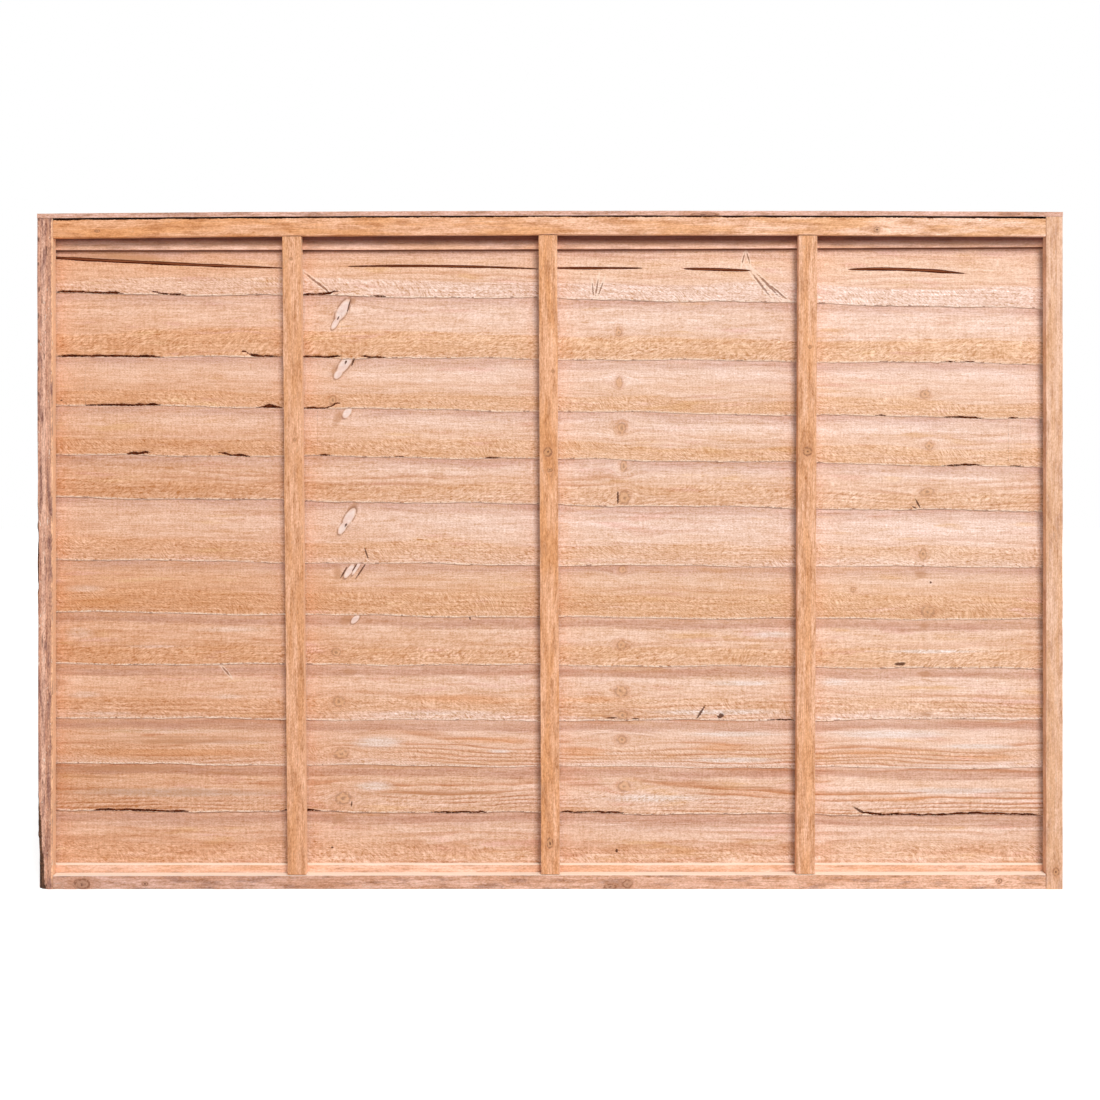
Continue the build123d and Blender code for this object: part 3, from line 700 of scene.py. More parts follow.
def timber_material(name, upright, seed, contrast=1.0, flecks=0.2, stripes=(), marks=(),
                    tint=FRAME_TINT, knot_body=TIMBER_KNOT, lip=0.0, side_tint=None, lit_flank=None, ledge=None,
                    under=None, stain_and_shade=None, head_shade=0.0):
    """Rough-sawn frame timber, its grain along X, or along Z where it is upright."""
    material, w = new_material(f"{name}_wood")
    pale, warm, late, grime = WOODS[name]
    place, x, y, z = w.place()
    along, across = (z, x) if upright else (x, z)
    ring_out, bend = place_knots(w, along, across, timber_spots(TIMBER_KNOTS.get(name, ()), upright))
    grain, deep = across + bend, y * 300.0 + seed
    broad = w.weave(along, 7, grain, 60, seed, 2)
    patch = w.weave(along, 22, grain, 120, y * 30 + (seed + 5), 2)
    streak = w.weave(along, 14, grain, 330, deep, 3, 0.65)
    fuzz = w.weave(along, 230, across, 430, deep, 1, 0.7)
    fleck = w.weave(along, 80, across, 330, deep, 2, 0.65)
    lines = growth_lines(w, along, grain, y, (0.012 + 0.01 * math.sin(seed), 0.030), 0.0036, seed)

    colour = w.mix((broad + streak.swing(0.05)).step(0.38, 0.62), pale, warm)
    colour = w.mix(lines * (0.26 * contrast), colour, late)
    for middle, half_width, amount, stripe in stripes:
        off = w.math("ABSOLUTE", across + patch.swing(0.0015) - middle)
        colour = w.mix(off.step(half_width, half_width * 0.4) * amount, colour, stripe)
    colour = w.mix(patch.step(0.52, 0.68) * (0.55 * contrast), colour, grime)
    shade = patch.swing(-0.16 * contrast) + streak.swing(0.16 * contrast)
    colour = w.shaded(colour, shade + fuzz.swing(0.2 * contrast) + fleck.swing(0.22 * contrast), tint)
    scatter = fleck + patch.swing(0.08)
    colour = w.paint(colour, (scatter.step(0.66, 0.73) * flecks, FLECK),
                     (scatter.step(0.34, 0.27) * (flecks * 0.9), FIBRE_AND_HIGHLIGHT))
    colour = paint_rings(w, colour, ring_out, place, knot_body, 1.15, 1.15)
    if marks:
        mark_out = place_knots(w, along, across, timber_spots(marks, upright))[0] + fleck.swing(0.45)
        colour = w.mix(mark_out.step(1.1, 0.6) * 0.8, colour, MARK)
    colour = w.mix(w.stored("worn") * 0.3, colour, FIBRE_AND_HIGHLIGHT)
    # Painted light along the top arris, partly pale fresh wood.
    if lip:
        colour = w.mix(w.stored("head").step(lip, lip * 0.5) * 0.8, colour, FRESH_WOOD_AND_TOP_LIGHT)
    if side_tint:
        colour = w.mix(1, colour, w.mix(x.between(-0.9, 0.9, 0, 1), *side_tint), "MULTIPLY")
    if ledge or under or lit_flank:
        colour = timber_faces(w, colour, lit_flank, ledge, under)
    # Painted shade under the top rail: darker towards the top of the lath.
    if stain_and_shade:
        colour = w.shaded(colour, z.between(*stain_and_shade), (0.89, 1, 1))
    dark = None
    # Painted shade along the top arris, under the cap.
    if head_shade:
        line = w.run(along, 26, seed, 3).swing(-0.9 * head_shade) + fuzz.swing(0.0004)
        dark = (w.stored("head") + line).step(head_shade, head_shade * 0.6)
        colour = w.mix(dark, colour, HEAD_SHADE)
    crust = w.noise(place, 160, 3, 0.65)
    bark_edge = (w.stored("bark") + crust.swing(0.3)).step(0.35, 0.6)
    colour = w.mix(bark_edge, colour, w.mix(crust.step(0.35, 0.7), BARK, BARK_RIDGE))
    height = streak * 0.5 + (fleck * 0.8 + fuzz * 0.3) + crust * bark_edge * 4.0
    finish_wood(w, colour, streak, height, 0.4, 0.0008, dark)
    return material


# Shapes of the slats

COLUMN_STEP = 3.6 * MM
NEAR_ROWS = np.array([0.0, 0.8, 1.8, 3.0, 4.5, 6.5, 9.5, 14.0, 20.0]) * MM
FAR_ROWS = 13
BACK_ROWS = 11
ROWS_BELOW_SPLIT, ROWS_ABOVE_SPLIT = 3, 7
RAY_START = 1.0
RAY_INSET = 0.05 * MM

# Dark gaps along a slat's lower edge, in the photograph's pixels:
# the slat, its first and last column, how thick, and how far its ends hook up if they do
GAPS = [
    (1, 55, 123, 2), (1, 147, 186, 1.6, 3, 0), (1, 301, 340, 2.2, 0, 4), (1, 368, 386, 1.8),
    (2, 55, 160, 2.2), (2, 240, 282, 2.4, 5, 0), (2, 300, 341, 2.2, 0, 2), (2, 358, 386, 1.8, 2, 0),
    (3, 55, 65, 2, 6, 0), (3, 84, 160, 2.2), (3, 258, 282, 3.4), (3, 300, 340, 2, 0, 5),
    (4, 124, 149, 3, 0, 2), (4, 216, 250, 2, 3, 0), (4, 317, 332, 1.6), (4, 392, 404, 1.4),
    (4, 484, 502, 1.6), (2, 946, 957, 1.6), (2, 966, 977, 1.6), (3, 877, 888, 1.6), (3, 944, 983, 1.8),
    (3, 1009, 1020, 1.6), (4, 944, 983, 1.8), (4, 1010, 1022, 1.6), (9, 770, 796, 1.6),
    (11, 92, 188, 2), (11, 281, 322, 1.8), (11, 430, 487, 1.8), (11, 559, 624, 1.8),
    (11, 862, 1040, 2, 2, 0),
]
GAP_TAPER = 14 * MM
GAP_DEPTH = 2.4 * MM
GAP_REACH = 16 * MM
EDGE_FADE = 7 * MM
EDGE_THINNING = 4.3 * MM
EDGE_REACH = 34 * MM
EDGE_CURVE = 1.2
LEAST_THICKNESS = 0.6 * MM
FAR_DROP = 0.1
SLAT_SMOOTH_ANGLE = 38.0

# The first slat's splits, as the CAD cuts them: start and end from the slat's left end, how far below
# the top lath at the start, the middle and the end, and the width in the middle
SPLITS = np.array([
    (-120, 432, 4.5, 20.5, 32, 6.0),
    (546, 892, 29, 28.5, 33.5, 4.5),
    (905, 1077, 32, 32, 32, 4),
    (1150, 1272, 33, 34.5, 36.5, 4.6),
    (1447, 1658, 34.5, 34.5, 42, 6.5),
]) * MM
SPLIT_ROWS = np.array([-7.0, -4.6, -3.5, -2.6, -1.8, -1.0, 0.0, 1.0, 1.8, 2.6, 3.5, 4.6, 7.0]) * MM
SPLIT_FIRST_ROW = len(NEAR_ROWS) + ROWS_BELOW_SPLIT
SPLIT_DEPTH = 2.6 * MM


def split_line(along):
    """How far the splits, and the grain between them, lie below the top lath."""
    ends = np.interp(along, SPLITS[:, :2].ravel(), SPLITS[:, [2, 4]].ravel())
    for start, end, drop_start, drop_middle, drop_end, _ in SPLITS:
        part = np.clip((along - start) / (end - start), 0, 1)
        straight = drop_start + (drop_end - drop_start) * part
        sag = drop_middle - (drop_start + drop_end) / 2
        ends = np.where((along > start) & (along < end), straight + 4 * sag * part * (1 - part), ends)
    return ends


def node_skin(name):
    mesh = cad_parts[name].data
    return BVHTree.FromPolygons([v.co for v in mesh.vertices], [p.vertices for p in mesh.polygons])


def face_depths(skin, columns, heights, side):
    """The depth of a node's front (side -1) or back (side 1), row by row at each column."""
    depths = np.full(heights.shape, np.nan)
    way = Vector((0, -side, 0))
    for row in range(heights.shape[0]):
        for place, column in enumerate(columns):
            hit = skin.ray_cast(Vector((column, side * RAY_START, heights[row, place])), way)[0]
            if hit is not None:
                depths[row, place] = hit.y
        missing = np.isnan(depths[row])
        if missing.any() and not missing.all():
            depths[row, missing] = np.interp(columns[missing], columns[~missing], depths[row, ~missing])
    return depths


def slat_outline(number):
    """A slat's columns, and the heights of its lower and upper edge at each."""
    points, edges = node_points(SLATS[number - 1])
    columns = stations_between(points[:, 0].min(), points[:, 0].max(), COLUMN_STEP)
    cuts = [crossings(points, edges, 0, column)[:, 2] for column in columns]
    return columns, np.array([cut.min() for cut in cuts]), np.array([cut.max() for cut in cuts])


def lath_foot(columns):
    """Height of the top lath's lower edge, which rises towards its right end."""
    points, edges = node_points("top_lath")
    inside = np.clip(columns, points[:, 0].min() + END_INSET, points[:, 0].max() - END_INSET)
    return np.array([crossings(points, edges, 0, column)[:, 2].min() for column in inside])


def spread(start, end, count):
    """Rows of heights evenly between two rows, without them."""
    return start + np.linspace(0, 1, count + 2)[1:-1, None] * (end - start)


def front_rows(number, columns, low, high):
    """Heights of the front's rows: close together near the lower edge, and along the splits."""
    near = low + NEAR_ROWS[:, None]
    if number > 1:
        return np.vstack([near, spread(near[-1], high, FAR_ROWS - 1), high])
    split = split_height(columns) + SPLIT_ROWS[:, None]
    return np.vstack([near, spread(near[-1], split[0], ROWS_BELOW_SPLIT), split,
                      spread(split[-1], high, ROWS_ABOVE_SPLIT), high])


def split_height(columns):
    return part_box("top_lath")[0][2] - split_line(columns - columns[0])


def edge_roughness(columns, number):
    """How far a slat's sawn lower edge strays up and down."""
    wild = 0.65 + 0.35 * ripple(columns, 0.16, 40 + number)
    coarse = 0.5 * ragged(columns, 0.017, 60 + number) + 0.8 * ragged(columns, 0.0072, 80 + number)
    return (coarse * wild + 0.25 * ripple(columns, 0.045, 100 + number)) * MM


def gap_field(number, columns, lift):
    """Metres inside the dark gaps of a slat's lower edge, below 0 outside them."""
    field = np.full(lift.shape, -1.0)
    for slat, first, last, thick, *hooks in GAPS:
        if slat != number:
            continue
        hook_first, hook_last = hooks or (0, 0)
        start, end = slat_spot(first, 0)[0], slat_spot(last, 0)[0]
        inside = np.minimum(columns - start, end - columns)
        taper = np.sqrt(np.clip(inside / GAP_TAPER, 0, 1))
        half = thick * SLAT_PIXEL / 2 * taper * (1 + 0.35 * ragged(columns, 0.011, 7 * first + slat))
        hook = hook_first * (1 - ease(columns, start, start + 2 * GAP_TAPER))
        hook = hook + hook_last * ease(columns, end - 2 * GAP_TAPER, end)
        inner = np.minimum(half - np.abs(lift - (half + hook * SLAT_PIXEL)), inside * 0.5)
        field = np.maximum(field, np.where(inside > 0, inner, inside))
    return field


def split_field(number, columns, heights):
    """Metres inside the first slat's splits, below 0 outside them, and metres above their line."""
    field = np.full(heights.shape, -1.0)
    if number > 1:
        return field, 0 * field
    above = heights - split_height(columns)
    along = columns - columns[0]
    for start, end, _, _, _, width in SPLITS:
        part = (along - start) / (end - start)
        half = width / 2 * np.sqrt(np.clip(4 * part * (1 - part), 0, 1))
        half = half * (1 + 0.2 * ripple(along, 0.035, int(end / MM)))
        field = np.maximum(field, np.where((part > 0) & (part < 1), half - np.abs(above), -1.0))
    return field, above


def level_splits(front):
    """The first slat's front made level across its CAD slots, which the visual splits replace."""
    last_row = SPLIT_FIRST_ROW + len(SPLIT_ROWS) - 1
    part = (SPLIT_ROWS - SPLIT_ROWS[0])[:, None] / (SPLIT_ROWS[-1] - SPLIT_ROWS[0])
    front[SPLIT_FIRST_ROW:last_row + 1] = front[SPLIT_FIRST_ROW] * (1 - part) + front[last_row] * part


def slat_relief(number, columns, heights, lift, gap, visible_top):
    """How far a slat's front lies behind its CAD face: its waves, frayed edge, gaps and thinned foot."""
    near_edge = np.exp(-lift / EDGE_FADE)
    relief = 0.35 * MM * sheet_ripple(columns, heights, 0.09, 0.022, 200 + number)
    relief = relief + 0.25 * MM * sheet_ripple(columns, heights, 0.03, 0.009, 300 + number) * near_edge
    fray = 0.5 * MM * np.clip(ragged(columns, 0.012, 120 + number), 0, 1) * near_edge
    sawn = (relief - fray) * ease(visible_top - heights, 1 * MM, 8 * MM)
    groove = GAP_DEPTH * ease(gap, -0.6 * MM, 0.9 * MM) * (lift < GAP_REACH)
    thinned = EDGE_THINNING * np.clip(1 - lift / EDGE_REACH, 0, 1) ** EDGE_CURVE
    return groove + (sawn + thinned) * (number < SLAT_COUNT)


def build_slat(number, outlines):
    """A detailed slat in its CAD node's place."""
    name = SLATS[number - 1]
    columns, low, high = outlines[number]
    skin = node_skin(name)
    above = outlines.get(number - 1)
    visible_top = np.interp(columns, above[0], above[1]) if above else lath_foot(columns)
    hidden_low = np.maximum(low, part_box("bottom_lath")[1][2])

    heights = front_rows(number, columns, low, high)
    back_heights = high - np.linspace(0, 1, BACK_ROWS)[:, None] * (high - low)
    front = face_depths(skin, columns, np.clip(heights, low + RAY_INSET, high - RAY_INSET), -1)
    back, behind = (face_depths(skin, columns, np.clip(rows, low + NEAR_ROWS[1], high - RAY_INSET), 1)
                    for rows in (back_heights, heights))
    lift = heights - low
    gap = gap_field(number, columns, lift)
    split, above_split = split_field(number, columns, heights)
    if number == 1:
        level_splits(front)
    front = front + SPLIT_DEPTH * ease(split, -0.3 * MM, 0.9 * MM)
    front = front + slat_relief(number, columns, heights, lift, gap, visible_top)
    front = np.minimum(front, behind - LEAST_THICKNESS)
    rough = edge_roughness(columns, number) if number < SLAT_COUNT else 0 * columns
    heights = heights + rough * np.exp(-lift / EDGE_FADE)
    back_heights = back_heights + rough * np.exp(-(back_heights - low) / EDGE_FADE)

    def stored(front_values, back_values):
        both = [(front_values, heights.shape), (back_values, back_heights.shape)]
        return np.vstack([np.broadcast_to(values, shape) for values, shape in both]).T

    board_line = np.polyval(np.polyfit(columns, low, 1), columns)
    values = {
        "lift": stored(heights - hidden_low, back_heights - low),
        "drop": stored(visible_top - heights, FAR_DROP),
        "rise": stored((heights - hidden_low) / (visible_top - hidden_low),
                       (back_heights - low) / (high - low)),
        "board": stored(heights - board_line, back_heights - board_line),
        "gap": stored(gap, -1.0),
        "split": stored(split, -1.0),
        "splitside": stored(above_split, 0.0),
        "rear": stored(0.0, 1.0),
    }
    points = np.stack([stored(columns, columns), stored(front, back), stored(heights, back_heights)], 2)
    faces = loft_faces(*points.shape[:2])
    return add_piece(f"{name}_sawn", points.reshape(-1, 3), faces, slat_material(number), (name,),
                     SLAT_SMOOTH_ANGLE, values)


outlines = {number: slat_outline(number) for number in range(1, SLAT_COUNT + 1)}
for number in outlines:
    build_slat(number, outlines)


# Frame timbers

ALONG_X, UPRIGHT = 0, 2
CORNER_OFFSETS = np.array([0.0, 0.5, 1.3, 2.6]) * MM
SIDE_STEPS = 4
ARRIS_FADE = 1.0 * MM
LEAST_ARRIS = 0.1 * MM
FACE_WAVES = 0.16 * MM
BARK_THICKNESS = 3.0 * MM
TIMBER_SMOOTH_ANGLE = 40.0
STEPS = {"cap": 5 * MM, "front_frame": 5 * MM, "battens": 5 * MM, "laths": 9 * MM, "back_frame": 9 * MM}


def convex_hull(points):
    """The corners of a flat set of points, in order."""
    ordered = sorted(set(map(tuple, np.round(points, 7))))

    def half(run):
        chain = []
        for point in run:
            while len(chain) > 1:
                (ax, ay), (bx, by) = chain[-2], chain[-1]
                if (bx - ax) * (point[1] - ay) - (by - ay) * (point[0] - ax) > 0:
                    break
                chain.pop()
            chain.append(point)
        return chain[:-1]

    return np.array(half(ordered) + half(ordered[::-1]))


def clip_to_hull(centre, target, hull):
    """The part of the way from a section's centre to a target that stays inside its outline."""
    way = target - centre
    part = 1.0
    for start, end in zip(hull, np.roll(hull, -1, axis=0)):
        side = end - start
        outward = np.array([side[1], -side[0]])
        ahead = outward @ way
        if ahead > LEAST_AHEAD:
            part = min(part, (outward @ (start - centre)) / ahead)
    return part


def side_places(length):
    """Places along one side of a section, close together at its corners, without the far corner."""
    middle = np.linspace(CORNER_OFFSETS[-1], length - CORNER_OFFSETS[-1], SIDE_STEPS + 1)[1:-1]
    return np.concatenate([CORNER_OFFSETS, middle, length - CORNER_OFFSETS[:0:-1]])


def section_targets(low, high):
    """Points round a rectangle, with each point's outward direction and distance from a corner."""
    targets, normals, from_corner = [], [], []
    corners = [(low[0], low[1]), (high[0], low[1]), (high[0], high[1]), (low[0], high[1])]
    ways = [(1, 0), (0, 1), (-1, 0), (0, -1)]
    for corner, way in zip(np.array(corners), np.array(ways)):
        length = abs((high - low) @ way)
        outward = np.array([way[1], -way[0]])
        for place in side_places(length):
            targets.append(corner + way * place)
            normals.append(outward if place else (outward - way) / math.sqrt(2))
            from_corner.append(min(place, length - place))
    return np.array(targets), np.array(normals), np.array(from_corner)


def timber_section(cut):
    """One station's points, their outward directions, distances from a corner and from the rectangle."""
    hull = convex_hull(cut)
    centre = hull.mean(axis=0)
    targets, normals, near = section_targets(cut.min(axis=0), cut.max(axis=0))
    parts = np.array([clip_to_hull(centre, target, hull) for target in targets])
    lost = np.linalg.norm(targets - centre, axis=1) * (1 - parts)
    return centre + (targets - centre) * parts[:, None], normals, near, lost


def wear_down(stations, near, seed, wear):
    """How far the sawn surface lies inside the section, and how worn its arrises are."""
    inward, worn = np.zeros(near.shape), np.zeros(near.shape)
    count = near.shape[1]
    for point in range(count):
        side = point // (count // 4)
        corner = (side + (point % (count // 4) > count // 8)) % 4
        rough = ripple(stations, 0.05, seed + 11 * corner)
        rough = rough + 0.7 * ragged(stations, 0.013, seed + 13 * corner)
        chips = np.clip(ragged(stations, 0.03, seed + 17 * corner) - 0.72, 0, 1) * 5
        arris = wear * (0.9 + 0.6 * rough + 1.6 * chips) * MM
        fall = np.exp(-near[:, point] / ARRIS_FADE)
        face = ripple(stations, 0.12, seed + 29 * side) + 0.4 * ragged(stations, 0.021, seed + 31 * point)
        inward[:, point] = np.clip(arris, LEAST_ARRIS, None) * fall + FACE_WAVES * (1 + face)
        worn[:, point] = fall * ease(arris, 0.3 * MM, 0.9 * MM)
    return inward, worn


def build_timber(name, axis, material, slot, wear, seed):
    """A sawn timber in its CAD node's place: its own section, station by station, with worn arrises."""
    points, edges = node_points(name)
    flat = [other for other in range(3) if other != axis]
    stations = stations_between(points[:, axis].min(), points[:, axis].max(), STEPS[slot])
    sections = [timber_section(crossings(points, edges, axis, place)[:, flat]) for place in stations]
    ring, normals, near, lost = (np.array(part) for part in zip(*sections))
    inward, worn = wear_down(stations, near, seed, wear)
    bark = ease(lost, 0.8 * MM, 3.0 * MM)
    around = np.arange(ring.shape[1])[None, :] * 1.0
    lump = sheet_ripple(stations[:, None], around, 0.012, 1.6, seed + 5)
    inward = inward * (1 - bark) - bark * BARK_THICKNESS * (0.6 + 0.6 * lump)
    ring = np.clip(ring - normals * inward[:, :, None], ring.min(axis=(0, 1)), ring.max(axis=(0, 1)))
    solid = np.insert(ring, axis, stations[:, None], axis=2)
    upper = ring[:, :, 1 if axis == ALONG_X else 0]
    values = {"worn": worn, "bark": bark, "head": upper.max(axis=1, keepdims=True) - upper}
    return add_piece(f"{name}_sawn", solid.reshape(-1, 3), loft_faces(*ring.shape[:2]), material,
                     (name,), TIMBER_SMOOTH_ANGLE, values)


def timber_spots(rows, upright):
    """A table's knots or marks in metres, along and across the grain."""
    found = []
    for column, row, half_length, half_width in rows:
        x, z = front_spot(column, row)
        along, across = (z, x) if upright else (x, z)
        found.append((along, across, half_length * FRONT_PIXEL, half_width * FRONT_PIXEL, 0.0))
    return found


# Stripes down the left stile: distance from the middle of the panel, half width, amount and tone
LEFT_STILE_STRIPES = (
    (-0.9135, 0.0022, 0.65, (0.36, 0.18, 0.13)),
    (-0.903, 0.005, 0.75, (0.76, 0.45, 0.33)),
    (-0.893, 0.0035, 0.6, (0.55, 0.29, 0.19)),
    # The last stripe is painted light along the stile's inner arris, which faces right towards the light.
    (-0.8868, 0.003, 1, (0.86, 0.47, 0.27)),
)

# Knots of the frame, in the photograph's pixels: column and row, half its length and half its width
# along and across the grain
TIMBER_KNOTS = {
    "cap": [(705, 214.5, 13, 2), (1010, 214, 10, 1.6)],
    "top_rail": [(877, 229.5, 3.2, 2.8), (97, 231, 2.6, 1.4), (551, 236, 4, 1.6)],
    "bottom_rail": [(82, 884, 8, 5), (145, 884, 3, 2), (610, 887, 6, 3), (627, 884, 5, 4),
                    (999, 881, 3.0, 2.5)],
    "left_batten": [(291, 259, 1.6, 1.5), (295, 440, 2, 1.8)],
    "centre_batten": [(548, 452, 4.4, 4), (550, 470, 1.6, 2.6), (553, 371, 1.4, 1.4),
                      (550, 843, 5.0, 3.0)],
    "right_batten": [(807.5, 451.5, 4.4, 4.2), (810, 347, 1.6, 1.5)],
    "right_stile": [(1056, 872, 4, 3)],
}

# Dark marks of the left stile, the same way
STILE_MARKS = [
    (38, 219, 2, 1.6), (38.5, 239, 2.6, 1.4), (38, 264, 2.4, 1.8), (39, 289, 3, 1.2),
    (38, 315, 3.2, 1.4), (38.5, 341, 2.6, 1.8), (38, 369, 2.2, 1.3), (38, 393, 2.6, 1.6),
    (38, 418, 3, 1.2), (46.5, 250, 4.5, 0.8), (42, 300, 5, 0.7), (53, 222, 3, 0.8),
    (44, 357, 4, 0.7), (41, 470, 6, 0.8), (45, 560, 5, 0.7), (42, 640, 7, 0.8),
]

# Each wood's pale and warm tones, its summer wood and its grime
BACK_TONES = ((0.84, 0.5, 0.33), (0.76, 0.41, 0.24), (0.58, 0.27, 0.14), (0.6, 0.34, 0.24))
WOODS = {
    "left_stile": ((0.65, 0.34, 0.235), (0.58, 0.28, 0.18), (0.38, 0.16, 0.095), (0.42, 0.22, 0.17)),
    "right_stile": ((0.82, 0.51, 0.355), (0.74, 0.42, 0.25), (0.56, 0.26, 0.12), (0.62, 0.36, 0.26)),
    "top_rail": ((0.86, 0.48, 0.285), (0.77, 0.37, 0.165), (0.6, 0.25, 0.095), (0.66, 0.31, 0.15)),
    "bottom_rail": ((0.82, 0.49, 0.35), (0.71, 0.38, 0.24), (0.52, 0.24, 0.13), (0.52, 0.3, 0.23)),
    "left_batten": ((0.8, 0.43, 0.26), (0.7, 0.34, 0.17), (0.56, 0.25, 0.1), (0.62, 0.31, 0.17)),
    "centre_batten": ((0.81, 0.43, 0.25), (0.71, 0.33, 0.15), (0.56, 0.25, 0.1), (0.62, 0.31, 0.17)),
    "right_batten": ((0.82, 0.46, 0.29), (0.74, 0.37, 0.19), (0.56, 0.25, 0.1), (0.62, 0.31, 0.17)),
    "cap": ((0.78, 0.47, 0.37), (0.66, 0.37, 0.27), (0.42, 0.19, 0.12), (0.48, 0.28, 0.22)),
    "top_lath": ((0.9, 0.56, 0.42), (0.8, 0.46, 0.3), (0.62, 0.31, 0.18), (0.58, 0.34, 0.27)),
    "bottom_lath": ((0.92, 0.58, 0.43), (0.84, 0.48, 0.31), (0.66, 0.32, 0.18), (0.62, 0.36, 0.27)),
    "back_upright": BACK_TONES,
    "back_rail": BACK_TONES,
}
# Painted light on right-facing sides, which face the light.
RIGHT_FLANK_LIGHT = (0.98, 0.66, 0.44)
TOP_RAIL_SIDES = ((0.95, 0.87, 0.8), (1.06, 1.22, 1.5))
BOTTOM_RAIL_SIDES = ((0.82, 0.82, 0.88), (1.05, 1.07, 1.06))


def build_woods():
    """The way each wood's grain runs and its material, by the wood's name."""
    uprights = {
        "left_stile": dict(seed=1, contrast=1.7, flecks=0.9, stripes=LEFT_STILE_STRIPES, marks=STILE_MARKS,
                           tint=(0.80, 1.0, 1.05), lit_flank=RIGHT_FLANK_LIGHT),
        "right_stile": dict(seed=2, flecks=0.3, tint=(0.66, 1, 1.4)),
        "left_batten": dict(seed=5, contrast=1.25, lit_flank=RIGHT_FLANK_LIGHT),
        "centre_batten": dict(seed=6, contrast=1.25, lit_flank=RIGHT_FLANK_LIGHT),
        "right_batten": dict(seed=7, contrast=1.25, lit_flank=RIGHT_FLANK_LIGHT),
        "back_upright": dict(seed=10, contrast=0.9),
    }
    levels = {
        # The top rail: painted shade on its top face and along its top arris, under the cap.
        "top_rail": dict(seed=3, contrast=1.15, side_tint=TOP_RAIL_SIDES, ledge=SHADED_WOOD,
                         head_shade=0.0016),
        # The bottom rail: painted light, partly fresh wood, on its top face and top arris.
        "bottom_rail": dict(seed=4, contrast=1.3, flecks=0.45, side_tint=BOTTOM_RAIL_SIDES,
                            ledge=FRESH_WOOD_AND_TOP_LIGHT, lip=0.0012, knot_body=(0.56, 0.31, 0.20)),
        "cap": dict(seed=8, contrast=1.2, flecks=0.3, under=SHADED_WOOD, knot_body=(0.4, 0.2, 0.14)),
        # The top lath gets painted shade under the top rail, darkest at its top.
        "top_lath": dict(seed=9, contrast=0.8, stain_and_shade=(1.147, 1.16, 0.05, -0.85)),
        # The bottom lath: painted light, partly fresh wood, on its top face and top arris.
        "bottom_lath": dict(seed=9.5, contrast=0.9, ledge=FRESH_WOOD_AND_TOP_LIGHT, lip=0.0026),
        "back_rail": dict(seed=11, contrast=0.9),
    }
    return {name: (axis, timber_material(name, axis == UPRIGHT, **look))
            for axis, looks in ((UPRIGHT, uprights), (ALONG_X, levels)) for name, look in looks.items()}


# Each timber, its wood, its slot and how worn it is
TIMBERS = [
    ("cap_strip", "cap", "cap", 0.4),
    ("front_stile_left", "left_stile", "front_frame", 0.4),
    ("front_stile_right", "right_stile", "front_frame", 0.5),
    ("front_top_rail", "top_rail", "front_frame", 0.4),
    ("front_bottom_rail", "bottom_rail", "front_frame", 0.5),
    ("front_batten_left", "left_batten", "battens", 0.5),
    ("front_batten_centre", "centre_batten", "battens", 0.5),
    ("front_batten_right", "right_batten", "battens", 0.5),
    ("top_lath", "top_lath", "laths", 0.4),
    ("bottom_lath", "bottom_lath", "laths", 0.4),
    ("back_stile_left", "back_upright", "back_frame", 0.5),
    ("back_stile_right", "back_upright", "back_frame", 0.5),
    ("back_top_rail", "back_rail", "back_frame", 0.5),
    ("back_bottom_rail", "back_rail", "back_frame", 0.5),
    ("back_batten_left", "back_upright", "back_frame", 0.5),
    ("back_batten_centre", "back_upright", "back_frame", 0.5),
    ("back_batten_right", "back_upright", "back_frame", 0.5),
]
FIRST_SEED, SEED_STEP = 1000, 100
woods = build_woods()
for turn, (name, wood, slot, wear) in enumerate(TIMBERS):
    build_timber(name, *woods[wood], slot, wear, FIRST_SEED + SEED_STEP * turn)


# Nails

NAIL_SIDES = 12
NAIL_RINGS = ((3.2 * MM, -1 * MM), (3.2 * MM, -0.2 * MM), (2.5 * MM, 0))
NAIL_SINK = 0.01 * MM
CAD_NAIL_LIFT = 0.28 * MM
SLAT_NAIL_LIFT = 24 * MM
LEAST_SLAT_NAIL = 60 * MM
NAIL_GROUP = 50 * MM
PANEL_MIDDLE = 0.6
STEEL, RUST = (0.33, 0.31, 0.29), (0.22, 0.1, 0.05)


def nail_material():
    material, w = new_material("nail_steel")
    rust = w.noise(w.value("TexCoord", "Object"), 900, 3, 0.6)
    bump = w.value("Bump", 0, {"Strength": 0.4, "Distance": 0.0003, "Height": rust})
    w.plug(w.tree.nodes["Principled BSDF"],
           {"Base Color": w.mix(rust.step(0.4, 0.65), STEEL, RUST), "Normal": bump,
            "Roughness": rust.between(0.3, 0.7, 0.4, 0.75), "Metallic": rust.between(0.4, 0.65, 0.9, 0.2)})
    return material


def nail_heads(name, spots, upward):
    """Flat nail heads at these spots, facing up or to the back."""
    points, faces = [], []
    ring = range(NAIL_SIDES)
    for spot in spots:
        first = len(points)
        for radius, height in NAIL_RINGS:
            for turn in np.arange(NAIL_SIDES) * math.tau / NAIL_SIDES:
                across, along = radius * math.cos(turn), radius * math.sin(turn)
                offset = (across, along, height) if upward else (-across, height, along)
                points.append(np.add(spot, offset))
        last = len(points) - NAIL_SIDES
        for base in range(first, last, NAIL_SIDES):
            corners = [(base + side, base + (side + 1) % NAIL_SIDES) for side in ring]
            faces += [(near, far, far + NAIL_SIDES, near + NAIL_SIDES) for near, far in corners]
        faces.append([first + side for side in reversed(ring)])
        faces.append([last + side for side in ring])
    return add_piece(name, np.array(points), faces, NAIL_STEEL, smooth_angle=30.0)


def nail_groups(name, key):
    """The points of each nail of a CAD node."""
    groups = {}
    for point in node_points(name)[0]:
        groups.setdefault(key(point), []).append(point)
    return [np.array(group) for _, group in sorted(groups.items())]


